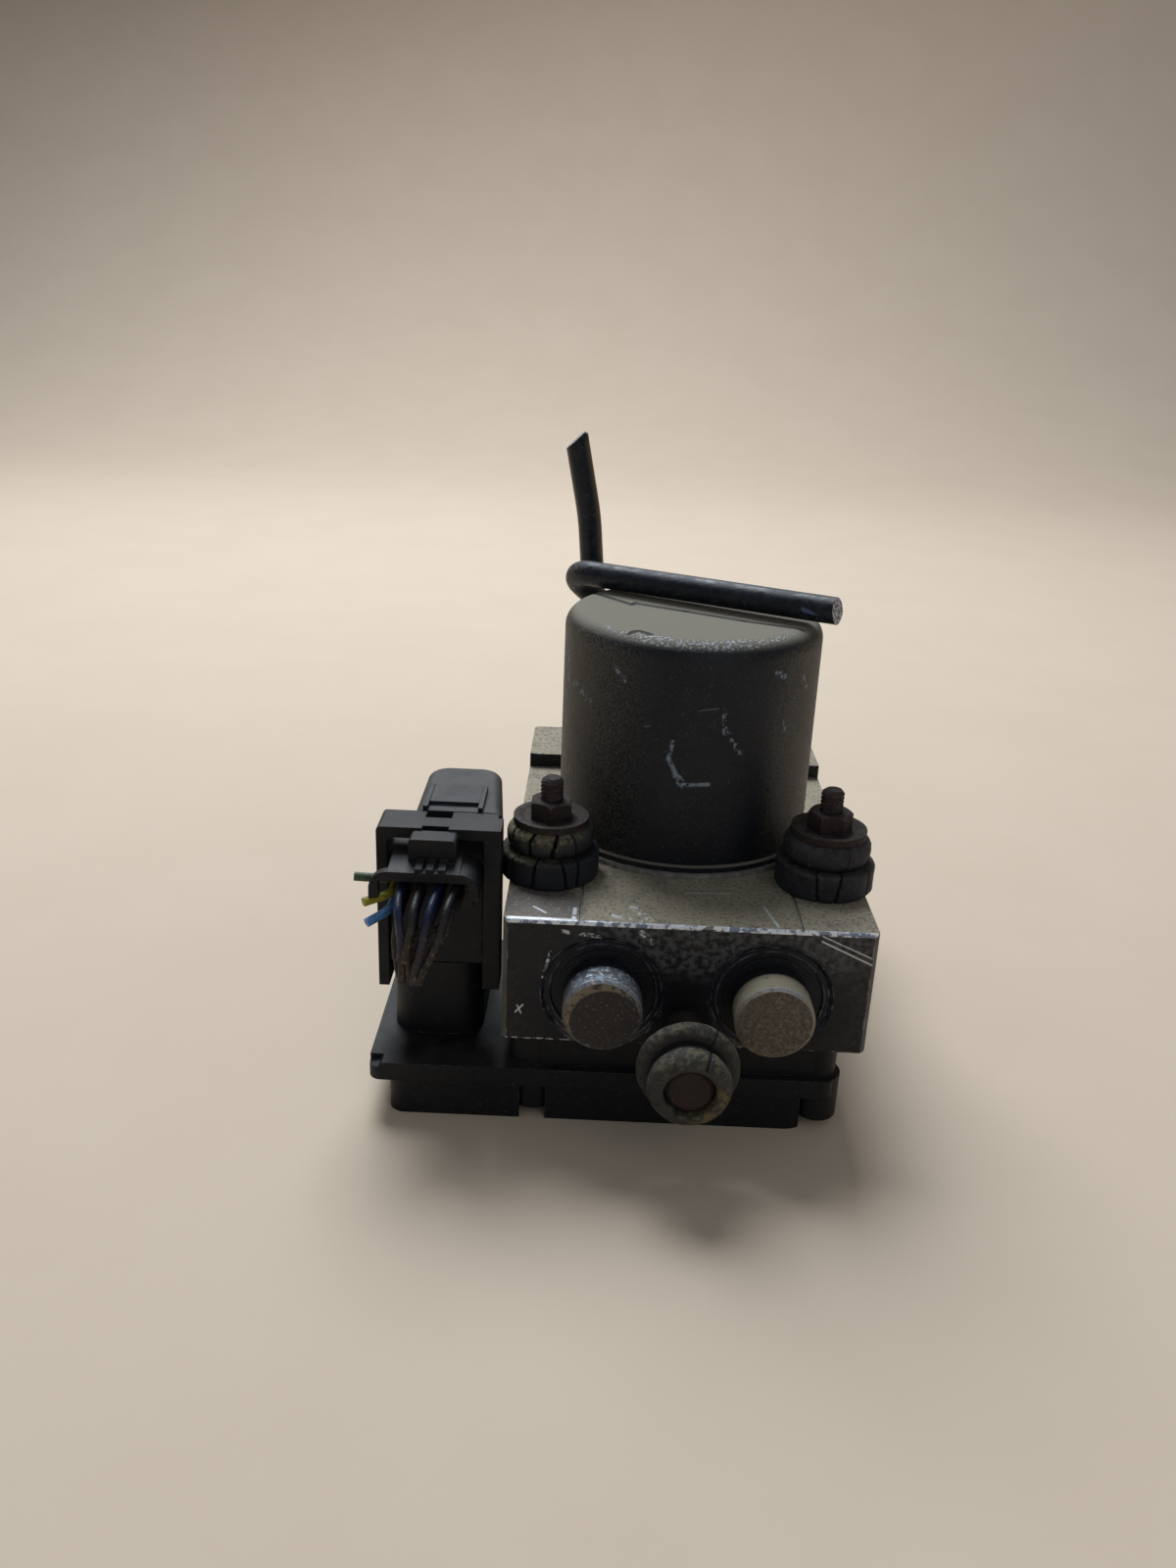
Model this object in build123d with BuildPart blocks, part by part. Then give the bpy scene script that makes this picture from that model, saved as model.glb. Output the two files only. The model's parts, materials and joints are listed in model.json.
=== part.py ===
from build123d import *

# Anti-lock brake module: an aluminium hydraulic block with its pump motor standing on top, the
# electronic control unit bolted underneath, the wiring plug on the control unit's left wing, two
# mounting studs and a front pin in rubber, and two cut brake pipes still screwed into the block.
#
# Millimetres. +Z is up along the motor shaft, -Y is the front face with the accumulator cups, and
# -X is the plug's side. The origin is on the underside of the control unit's cover, below the shaft.

import os
from math import cos, radians, sin, sqrt, tan

os.makedirs("parts", exist_ok=True)

# ---------------------------------------------------------------- driving dimensions

running_fit = 0.05  # radial gap of a piece that slides or turns in its bore
seated_fit = 0.05  # radial gap of a piece that is pressed, screwed or laid in its seat
side_gap = 0.3  # gap beside a moving piece that doesn't bear on its neighbour
cut_margin = 1.0  # how far a cutting shape reaches past the surface it starts from

# hydraulic block
block_width = 90.0
block_height = 33.0
shaft_from_front = 63.0
block_corner = 1.2
block_edge = 0.5
land_depth = 26.0
land_gap = 2.5
land_height = 4.2
pad_line_x = 26.5
pad_line_width = 0.8
pad_line_depth = 0.5
pad_line_length = 24.0

# control unit under the block
unit_height = 24.0
cover_height = 10.0
cover_wall = 2.0
plate_thickness = 5.0
plate_right = 38.8
plate_left = -78.3
plate_rear = 54.0
wing_right = -45.5
wing_rear = 3.0
chip_length = 4.2  # broken off the wing's front left corner
chip_waist = 2.6
chip_waist_depth = 1.3
chip_side_depth = 1.9
chip_reach = 4.0
plate_corner = 3.0
cover_left = -73.5
cover_right = 35.0
cover_front_inset = 0.8
cover_rear_inset = 2.0
cover_corner = 4.0
cover_front_corner = 8.0
riser_left = -43.0
riser_right = 37.0
riser_front_inset = 2.5
riser_wall = 2.2
riser_corner = 4.0
gasket_thickness = 0.8
boss_x = (-37.0, 35.5)
boss_front_inset = 6.0
boss_rear_inset = 7.0
boss_radius = 5.3
boss_neck_radius = 4.0
boss_bottom = 3.0
boss_pocket_gap = 0.8
torn_boss_height = 2.4
unit_screw_radius = 2.4
unit_screw_head_radius = 4.1
unit_screw_head_height = 4.0
unit_screw_depth_in_block = 11.0
unit_screw_socket = 2.0
board_thickness = 1.6
board_above_cover_floor = 4.2
board_inset = 3.0
post_radius = 2.0
post_x = 19.0
post_y = 40.0

# motor
can_radius = 34.25
can_height = 58.9
can_wall = 1.6
can_top_fillet = 5.0
can_flange_width = 1.65
can_flange_thickness = 1.4
end_plate_border = 1.1
end_plate_thickness = 1.2
spigot_inset = 4.25
spigot_depth = 3.0
shaft_radius = 4.0
shaft_hole_radius = 6.0
bearing_radius = 13.0
bearing_width = 8.0
top_bush_radius = 7.0
top_bush_length = 5.0
top_cup_wall = 1.4
magnet_thickness = 7.35
rotor_gap = 0.7
core_length = 28.0
core_slots = 12
core_slot_width = 3.0
core_slot_depth = 11.0
magnet_length = 33.0
magnet_arc = 148.0
winding_radius_inner = 7.0
winding_inset = 2.6
winding_height = 4.5
winding_fillet = 1.8
commutator_radius = 9.0
commutator_length = 9.0
commutator_slot_width = 0.6
commutator_slot_depth = 0.9
brush_plate_thickness = 3.0
brush_plate_hole = 10.5
brush_size = 5.0
brush_length = 8.0
brush_box_wall = 1.4
brush_box_length = 14.0
brush_spring_radius = 1.7
brush_spring_wire = 0.5
brush_spring_turns = 5
eccentricity = 1.2
journal_radius = 6.5
journal_length = 10.0
cam_ring_radius = 9.0
contact_y = -19.5
contact_radius = 1.8
contact_hole_radius = 2.2

# pump across the block
pump_height = 14.0
cam_chamber_radius = 12.5
cam_chamber_floor = 5.0
pump_piston_radius = 3.2
pump_piston_length = 13.7
pump_piston_head_radius = 5.2
pump_piston_head_length = 2.0
pump_cam_gap = 0.1
pump_chamber_radius = 5.6
pump_chamber_start = 18.0
pump_plug_radius = 7.0
pump_plug_length = 11.6
pump_plug_recess = 0.4
pump_plug_socket = 3.5
pump_plug_socket_depth = 4.0
pump_spring_radius = 4.2
pump_spring_wire = 1.0
pump_spring_turns = 4

# accumulators in the front face
accumulator_x = 20.4
accumulator_height = 13.75
accumulator_bore = 8.0
accumulator_depth = 27.0
cup_radius = 9.55
cup_wall = 1.3
cup_reach = 10.5
cup_chamfer = 0.7
cup_flange_radius = 12.9
cup_flange_top = 1.0
cup_flange_bottom = 3.0
cup_flange_step_radius = 11.3
cup_flange_step = 0.6
recess_radius = 15.2
recess_bevel = 0.8
accumulator_piston_length = 12.0
accumulator_piston_wall = 1.8
accumulator_piston_floor = 3.0
accumulator_end_gap = 0.3
accumulator_seal_place = 18.0
accumulator_seal_width = 2.2
accumulator_seal_depth = 1.4
accumulator_spring_radius = 4.8
accumulator_spring_wire = 1.6
accumulator_spring_turns = 7

# solenoid valves, rising from the control unit into the block
valve_x = (-27.0, -9.0, 9.0, 27.0)
valve_y = (-25.0, 25.0)
valve_radius = 5.5
valve_depth = 17.5
valve_tube_radius = 3.1
valve_tube_wall = 0.45
valve_tube_length = 14.5
valve_guide_length = 6.0
valve_orifice_radius = 0.5
valve_travel = 0.5
plunger_length = 15.4
needle_radius = 1.0
valve_spring_radius = 1.9
valve_spring_wire = 0.4
valve_spring_turns = 5
coil_radius = 7.0
coil_height = 12.0
coil_top_gap = 1.5

# ports and drillings
port_x = (-27.0, -9.0, 9.0, 27.0)
port_from_rear = 13.5
port_radius = 5.0
port_depth = 14.0
rear_port_x = 18.0
rear_port_height = 12.0
rear_port_radius = 5.5
rear_port_depth = 13.0
drilling_radius = 1.6
drilling_height = 11.6
drilling_front = 28.0
suction_x = 19.0
channel_plug_radius = 2.4
channel_plug_length = 3.0

# brake pipes
pipe_radius = 3.5
pipe_bore = 2.2
pipe_insertion = 11.0
pipe_over_can = 0.3
pipe_nut_across_flats = 11.0
pipe_nut_height = 6.0
pipe_knuckle_radius = 5.5
pipe_bend_radius = 16.0
pipe_shut_length = 8.0  # the pliers crushed the bore shut behind each cut
cut_face_x = (0.86, -0.51, 0.0)
cut_face_normal = (0.51, 0.86, 0.0)
long_cut = ((0.6, 5.0), (4.0, 5.0), (4.0, -5.0), (-1.2, -5.0))
upright_cut = ((-6.0, 4.0), (6.0, 4.0), (6.0, -1.0), (2.5, 0.0), (-5.5, -7.5))

# mountings
ring_motor_gap = 0.193
stud_from_front = 27.5
stud_radius = 3.0
stud_core_radius = 2.7  # pitch radius of the thread, where the stud runs in its nut, rubber and block
stud_depth = 14.0
stud_height = 26.0
stud_chamfer = 0.8
thread_start_gap = 0.3  # bare neck between the nut and the full thread of the free end
ring_radius = 12.8
ring_height = 7.3
bush_radius = 11.3
bush_height = 6.9
bush_fillet = 2.9
washer_radius = 9.55
washer_thickness = 1.2
washer_rim = 0.5
washer_rim_width = 1.3
nut_across_flats = 10.0
nut_height = 4.8
nut_chamfer = 0.6
pin_height = 5.0
pin_thread_depth = 11.0
pin_collar_radius = 5.0
pin_collar_length = 15.2
pin_seat_radius = 7.0
pin_seat_thickness = 1.3
pin_shank_radius = 4.4
pin_head_radius = 5.8
pin_head_length = 2.4
grommet_flange_radius = 12.45
grommet_flange_thickness = 4.5
grommet_groove_radius = 8.6
grommet_groove_width = 3.6
grommet_lip_radius = 10.0
grommet_nose_length = 4.7
grommet_nose_fillet = 2.8
grommet_recess_depth = 3.8

# plug and its socket on the wing
socket_left = -74.3
socket_right = -51.1
socket_front_inset = 14.5
socket_length = 39.5
socket_height = 21.0
socket_wall = 2.0
socket_corner = 7.0
pin_rows = 3
pin_columns = 8
pin_pitch = 3.6
terminal_size = 0.8
terminal_hole = 1.0
terminal_length = 12.0
arm_thickness = 2.6
arm_gap = 0.3
arm_bottom = 30.0
arm_length = 10.8
arm_rib = 1.6
arm_rib_depth = 8.0
plug_top = 74.0
plug_front_inset = 12.5
crossbar_height = 2.8
crossbar_depth = 10.8
crossbar_taper = 1.6
crossbar_notch_width = 6.5
crossbar_notch_depth = 1.6
crossbar_pocket_length = 3.9
core_front_length = 11.5
core_top = 67.0
rear_core_left = -67.2
rear_core_right = -52.4
rear_core_length = 24.0
plug_nose_depth = 14.0
hood_left = -77.4
hood_top = 66.9
hood_roof = 2.4
hood_rise = 1.6
hood_reach = 12.4
lip_thickness = 2.4
lip_height = 6.9
lip_corner = 4.5
hood_rib_width = 1.8
hood_rib_height = 0.9
hood_rib_x = (-65.5, -62.8, -59.9)
lug_left = -68.5
lug_width = 11.5
lug_reach = 5.6
lug_height = 6.5
lug_fillet = 1.0
seal_left = -73.7
seal_height = 11.5
seal_thickness = 1.8
bundle_x = -63.2
seal_top = 64.2

# locking lever of the plug
lever_pivot_y = -23.0
lever_pivot_z = 42.0
lever_pin_radius = 2.5
lever_arm_thickness = 2.0
lever_arm_width = 10.0
lever_handle_thickness = 4.0
lever_handle_front = -39.2
lever_handle_rear = -7.3
lever_corner = 6.0
lever_flare = 3.0
lever_crown = 2.4
lever_rib_height = 1.2
lever_rib_length = 15.0
tongue_width = 12.6
tongue_setback = 3.8
tongue_thickness = 1.0

# cut wires
wire_radius = 1.1
wire_columns = 4
wire_rows = 3
wire_column_pitch = 4.7
wire_row_pitch = 2.9
wire_end_pitch = 2.5
wire_first_reach = 14.7
wire_first_drop = 17.5
wire_drop_step = 1.5
wire_lean = -3.8
stub_x = -72.6

# ---------------------------------------------------------------- places worked out from them

block_bottom = unit_height
block_top = block_bottom + block_height
land_top = block_top + land_height
block_front = -shaft_from_front
block_side = block_width / 2
can_inner_radius = can_radius - can_wall
can_flange_radius = can_radius + can_flange_width
end_plate_radius = can_flange_radius + end_plate_border
spigot_radius = can_radius - spigot_inset
magnet_radius_inner = can_inner_radius - magnet_thickness
core_radius = magnet_radius_inner - rotor_gap
winding_radius_outer = core_radius - winding_inset
land_front = end_plate_radius + land_gap
block_back = land_front + land_depth
block_depth = block_back - block_front

plate_bottom = cover_height
plate_top = plate_bottom + plate_thickness
riser_top = block_bottom - gasket_thickness
board_bottom = cover_wall + board_above_cover_floor
board_top = board_bottom + board_thickness
cover_front = block_front + cover_front_inset
cover_rear = plate_rear - cover_rear_inset
cover_wing_rear = wing_rear - cover_rear_inset
riser_front = block_front + riser_front_inset
riser_rear = plate_rear - riser_front_inset
boss_y = (block_front + boss_front_inset, plate_rear - boss_rear_inset)
boss_points = [(x, y) for x in boss_x for y in boss_y]

pump_z = block_bottom + pump_height
accumulator_z = block_bottom + accumulator_height
drilling_z = block_bottom + drilling_height
port_y = block_back - port_from_rear
return_y = valve_y[0]
stud_y = block_front + stud_from_front
stud_x = sqrt((end_plate_radius + ring_motor_gap + ring_radius) ** 2 - stud_y**2)
stud_points = ((-stud_x, stud_y), (stud_x, stud_y))
valve_points = [(x, y) for y in valve_y for x in valve_x]

bearing_top = block_top - spigot_depth
bearing_bottom = bearing_top - bearing_width
end_plate_top = block_top + end_plate_thickness
can_top = end_plate_top + can_height + can_flange_thickness
can_ceiling = can_top - can_wall
brush_plate_top = end_plate_top + brush_plate_thickness
brush_z = brush_plate_top + brush_box_wall + brush_size / 2
commutator_bottom = brush_plate_top + 0.8
core_bottom = commutator_bottom + commutator_length + winding_height + 0.5
core_top_z = core_bottom + core_length
magnet_bottom = core_bottom + (core_length - magnet_length) / 2
top_bush_top = can_ceiling - 0.6
top_bush_bottom = top_bush_top - top_bush_length


def upright(x, y, z):
    """A plane whose own Y axis points up, for turned pieces that stand."""
    return Plane(origin=(x, y, z), x_dir=(1, 0, 0), z_dir=(0, -1, 0))


def forward(x, y, z):
    """A plane whose own Y axis points to the front, for turned pieces in the front face."""
    return Plane(origin=(x, y, z), x_dir=(1, 0, 0), z_dir=(0, 0, -1))


def outward(side, y, z):
    """A plane whose own Y axis points out of the block's side, for the pump's turned pieces."""
    return Plane(origin=(0, y, z), x_dir=(0, 0, 1), z_dir=(0, side, 0))


def lathe(plane, profile, mode=Mode.ADD):
    """Revolves a closed (radius, height) outline about the plane's own Y axis."""
    with BuildSketch(plane) as section:
        with BuildLine():
            Polyline(*profile, close=True)
        make_face()
    revolve(section.sketch, axis=Axis(plane.origin, plane.y_dir), mode=mode)


def ring(plane, inner, outer, bottom, top, mode=Mode.ADD):
    """A plain turned ring, or a disc where inner is 0."""
    lathe(plane, [(inner, bottom), (outer, bottom), (outer, top), (inner, top)], mode)


def drill(plane, points, radius, depth):
    """Round holes; a negative depth goes against the plane's normal."""
    with BuildSketch(plane) as holes:
        with Locations(*points):
            Circle(radius)
    extrude(holes.sketch, amount=depth, mode=Mode.SUBTRACT)


def block_of(left, right, front, back, bottom, top, mode=Mode.ADD):
    """A box given by its six sides."""
    with Locations(((left + right) / 2, (front + back) / 2, (bottom + top) / 2)):
        Box(right - left, back - front, top - bottom, mode=mode)


def coil_spring(start, direction, radius, wire, turns, length):
    """A round-wire compression spring between two flat seats."""
    end = wire / 2 + seated_fit
    centre = Vector(start) + Vector(direction) * end
    height = length - 2 * end
    line = Helix(height / turns, height, radius, center=centre, direction=direction)
    return sweep(Plane(line @ 0, z_dir=line % 0) * Circle(wire / 2), path=line, is_frenet=True)


def save(piece, name):
    """Labels a piece and writes it."""
    piece.label = name
    export_step(piece, f"parts/{name}.step")


# ---------------------------------------------------------------- hydraulic block

with BuildPart() as hydraulic_block:
    with BuildSketch(Plane.XY.offset(block_bottom)) as block_outline:
        with Locations((0, (block_front + block_back) / 2)):
            Rectangle(block_width, block_depth)
        chamfer(block_outline.vertices(), block_corner)
    extrude(amount=block_height + land_height)
    block_of(
        -block_side - cut_margin, block_side + cut_margin, block_front - cut_margin, land_front,
        block_top, land_top + cut_margin, Mode.SUBTRACT,
    )
    front_edges = hydraulic_block.faces().sort_by(Axis.Y)[0].edges()
    chamfer(front_edges.sort_by(Axis.Z)[-1], block_edge)

    # grooves beside the mounting pads
    for side in (-1, 1):
        block_of(
            side * pad_line_x - pad_line_width / 2, side * pad_line_x + pad_line_width / 2,
            block_front - cut_margin, block_front + pad_line_length,
            block_top - pad_line_depth, block_top + cut_margin, Mode.SUBTRACT,
        )

    # motor seat, bearing seat and cam chamber
    top_face = Plane.XY.offset(block_top)
    drill(top_face, [(0, 0)], spigot_radius, -spigot_depth)
    drill(top_face, [(0, 0)], bearing_radius, bearing_bottom - block_top)
    drill(top_face, [(0, 0)], cam_chamber_radius, block_bottom + cam_chamber_floor - block_top)
    drill(Plane.XY.offset(block_bottom), [(0, contact_y)], contact_hole_radius, block_height)

    # pump bores
    for side in (-1, 1):
        pump_axis = outward(side, 0, pump_z)
        ring(pump_axis, 0, pump_piston_radius + running_fit, 0, block_side, Mode.SUBTRACT)
        ring(pump_axis, 0, pump_chamber_radius, pump_chamber_start, block_side, Mode.SUBTRACT)
        ring(
            pump_axis, 0, pump_plug_radius,
            block_side - pump_plug_recess - pump_plug_length, block_side + cut_margin, Mode.SUBTRACT,
        )

    # accumulator bores, with their recesses and seal grooves
    for side in (-1, 1):
        mouth = forward(side * accumulator_x, block_front, accumulator_z)
        ring(mouth, 0, accumulator_bore, -accumulator_depth, cut_margin, Mode.SUBTRACT)
        ring(
            mouth, 0, cup_flange_radius + seated_fit, -cup_flange_bottom, cut_margin, Mode.SUBTRACT
        )
        lathe(
            mouth,
            [
                (0, -recess_bevel),
                (recess_radius - recess_bevel, -recess_bevel),
                (recess_radius, 0),
                (recess_radius, cut_margin),
                (0, cut_margin),
            ],
            Mode.SUBTRACT,
        )
        ring(
            mouth, accumulator_bore - running_fit, accumulator_bore + accumulator_seal_depth,
            -accumulator_seal_place - accumulator_seal_width, -accumulator_seal_place, Mode.SUBTRACT,
        )

    # valve bores
    drill(Plane.XY.offset(block_bottom), valve_points, valve_radius, valve_depth)

    # pipe ports and the drillings behind them
    port_face = Plane.XY.offset(land_top)
    rear_face = Plane.XZ.offset(-block_back)
    drill(port_face, [(x, port_y) for x in port_x], port_radius, -port_depth)
    drill(port_face, [(x, port_y) for x in port_x], drilling_radius, drilling_z - land_top)
    drill(rear_face, [(x, drilling_z) for x in port_x], channel_plug_radius, channel_plug_length)
    drill(rear_face, [(x, drilling_z) for x in port_x], drilling_radius, block_back - drilling_front)
    rear_ports = [(side * rear_port_x, block_bottom + rear_port_height) for side in (-1, 1)]
    drill(rear_face, rear_ports, rear_port_radius, rear_port_depth)
    suction = [(side * suction_x, pump_z) for side in (-1, 1)]
    drill(rear_face, suction, drilling_radius, block_back)
    drill(Plane.XZ, suction, drilling_radius, -block_front - accumulator_depth + cut_margin)

    for side in (-1, 1):
        ring(
            outward(side, return_y, pump_z), 0, drilling_radius,
            valve_x[2], block_side, Mode.SUBTRACT,
        )
        ring(
            outward(side, return_y, pump_z), 0, channel_plug_radius,
            block_side - channel_plug_length, block_side + cut_margin, Mode.SUBTRACT,
        )

    # threads for the studs, the front pin and the control unit's screws
    drill(top_face, stud_points, stud_core_radius, -stud_depth)
    drill(
        Plane.XZ.offset(-block_front), [(0, block_bottom + pin_height)], stud_radius,
        -pin_thread_depth,
    )
    drill(
        Plane.XY.offset(block_bottom), boss_points, unit_screw_radius + seated_fit,
        unit_screw_depth_in_block + cut_margin,
    )

save(hydraulic_block.part, "hydraulic_block")

with BuildPart() as channel_plugs:
    for x in port_x:
        ring(
            forward(x, block_back, drilling_z), 0, channel_plug_radius - seated_fit,
            0, channel_plug_length,
        )

    for side in (-1, 1):
        ring(
            outward(side, return_y, pump_z), 0, channel_plug_radius - seated_fit,
            block_side - channel_plug_length, block_side,
        )

save(channel_plugs.part, "channel_plugs")

# ---------------------------------------------------------------- accumulators

cup_end = cup_reach - cup_wall
piston_back = -accumulator_depth + accumulator_end_gap
piston_front = piston_back + accumulator_piston_length
piston_radius = accumulator_bore - running_fit

with BuildPart() as accumulator_caps:
    for side in (-1, 1):
        lathe(
            forward(side * accumulator_x, block_front, accumulator_z),
            [
                (0, cup_reach),
                (cup_radius - cup_chamfer, cup_reach),
                (cup_radius, cup_reach - cup_chamfer),
                (cup_radius, -cup_flange_top),
                (cup_flange_step_radius, -cup_flange_top),
                (cup_flange_step_radius, -cup_flange_top - cup_flange_step),
                (cup_flange_radius, -cup_flange_top - cup_flange_step),
                (cup_flange_radius, -cup_flange_bottom),
                (cup_radius - cup_wall, -cup_flange_bottom),
                (cup_radius - cup_wall, cup_end),
                (0, cup_end),
            ],
        )

save(accumulator_caps.part, "accumulator_caps")

with BuildPart() as accumulator_seals:
    for side in (-1, 1):
        ring(
            forward(side * accumulator_x, block_front, accumulator_z),
            accumulator_bore, accumulator_bore + accumulator_seal_depth - seated_fit,
            -accumulator_seal_place - accumulator_seal_width + seated_fit,
            -accumulator_seal_place - seated_fit,
        )

save(accumulator_seals.part, "accumulator_seals")

for side, hand in ((-1, "left"), (1, "right")):
    with BuildPart() as accumulator_piston:
        lathe(
            forward(side * accumulator_x, block_front, accumulator_z),
            [
                (0, piston_back),
                (piston_radius, piston_back),
                (piston_radius, piston_front),
                (piston_radius - accumulator_piston_wall, piston_front),
                (piston_radius - accumulator_piston_wall, piston_back + accumulator_piston_floor),
                (0, piston_back + accumulator_piston_floor),
            ],
        )

    save(accumulator_piston.part, f"accumulator_piston_{hand}")

    spring_seat = piston_back + accumulator_piston_floor
    accumulator_spring = coil_spring(
        (side * accumulator_x, block_front - cup_end, accumulator_z), (0, 1, 0),
        accumulator_spring_radius, accumulator_spring_wire, accumulator_spring_turns,
        cup_end - spring_seat,
    )
    save(accumulator_spring, f"accumulator_spring_{hand}")

# ---------------------------------------------------------------- pump

pump_piston_tip = eccentricity + cam_ring_radius + pump_cam_gap
pump_piston_end = pump_piston_tip + pump_piston_length
pump_plug_face = block_side - pump_plug_recess - pump_plug_length

for side, hand in ((-1, "left"), (1, "right")):
    with BuildPart() as pump_piston:
        lathe(
            outward(side, 0, pump_z),
            [
                (0, pump_piston_tip),
                (pump_piston_radius, pump_piston_tip),
                (pump_piston_radius, pump_piston_end - pump_piston_head_length),
                (pump_piston_head_radius, pump_piston_end - pump_piston_head_length),
                (pump_piston_head_radius, pump_piston_end),
                (0, pump_piston_end),
            ],
        )

    save(pump_piston.part, f"pump_piston_{hand}")

    pump_spring = coil_spring(
        (side * pump_piston_end, 0, pump_z), (side, 0, 0),
        pump_spring_radius, pump_spring_wire, pump_spring_turns, pump_plug_face - pump_piston_end,
    )
    save(pump_spring, f"pump_spring_{hand}")

with BuildPart() as pump_plugs:
    for side in (-1, 1):
        ring(
            outward(side, 0, pump_z), 0, pump_plug_radius - seated_fit,
            pump_plug_face, pump_plug_face + pump_plug_length,
        )
    for side in (-1, 1):
        with BuildSketch(Plane.YZ.offset(side * (block_side - pump_plug_recess))):
            with Locations((0, pump_z)):
                RegularPolygon(pump_plug_socket, 6)
        extrude(amount=-side * pump_plug_socket_depth, mode=Mode.SUBTRACT)

save(pump_plugs.part, "pump_plugs")

# ---------------------------------------------------------------- solenoid valves

tube_bottom = block_bottom - valve_tube_length
tube_bore = valve_tube_radius - valve_tube_wall
guide_top = block_bottom + valve_guide_length
plunger_bottom = tube_bottom + valve_tube_wall + running_fit
plunger_top = plunger_bottom + plunger_length
needle_top = guide_top - valve_travel - running_fit
coil_top = block_bottom - coil_top_gap

with BuildPart() as valve_cartridges:
    for x, y in valve_points:
        lathe(
            upright(x, y, 0),
            [
                (0, tube_bottom),
                (valve_tube_radius, tube_bottom),
                (valve_tube_radius, block_bottom),
                (valve_radius - seated_fit, block_bottom),
                (valve_radius - seated_fit, block_bottom + valve_depth - 0.5),
                (valve_orifice_radius, block_bottom + valve_depth - 0.5),
                (valve_orifice_radius, guide_top),
                (tube_bore, guide_top),
                (tube_bore, tube_bottom + valve_tube_wall),
                (0, tube_bottom + valve_tube_wall),
            ],
        )

save(valve_cartridges.part, "valve_cartridges")

for number, (x, y) in enumerate(valve_points, 1):
    with BuildPart() as valve_plunger:
        lathe(
            upright(x, y, 0),
            [
                (0, plunger_bottom),
                (tube_bore - running_fit, plunger_bottom),
                (tube_bore - running_fit, plunger_top),
                (needle_radius, plunger_top),
                (needle_radius, needle_top),
                (0, needle_top),
            ],
        )

    save(valve_plunger.part, f"valve_plunger_{number}")

valve_springs = Compound(
    [
        coil_spring(
            (x, y, plunger_top), (0, 0, 1), valve_spring_radius, valve_spring_wire,
            valve_spring_turns, guide_top - plunger_top,
        ).solid()
        for x, y in valve_points
    ]
)
save(valve_springs, "valve_springs")

with BuildPart() as solenoid_coils:
    for x, y in valve_points:
        ring(
            upright(x, y, 0), valve_tube_radius + seated_fit, coil_radius,
            coil_top - coil_height, coil_top,
        )

save(solenoid_coils.part, "solenoid_coils")

# ---------------------------------------------------------------- control unit

socket_front = block_front + socket_front_inset
socket_back = socket_front + socket_length
socket_centre = ((socket_left + socket_right) / 2, (socket_front + socket_back) / 2)
socket_top = plate_top + socket_height

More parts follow.
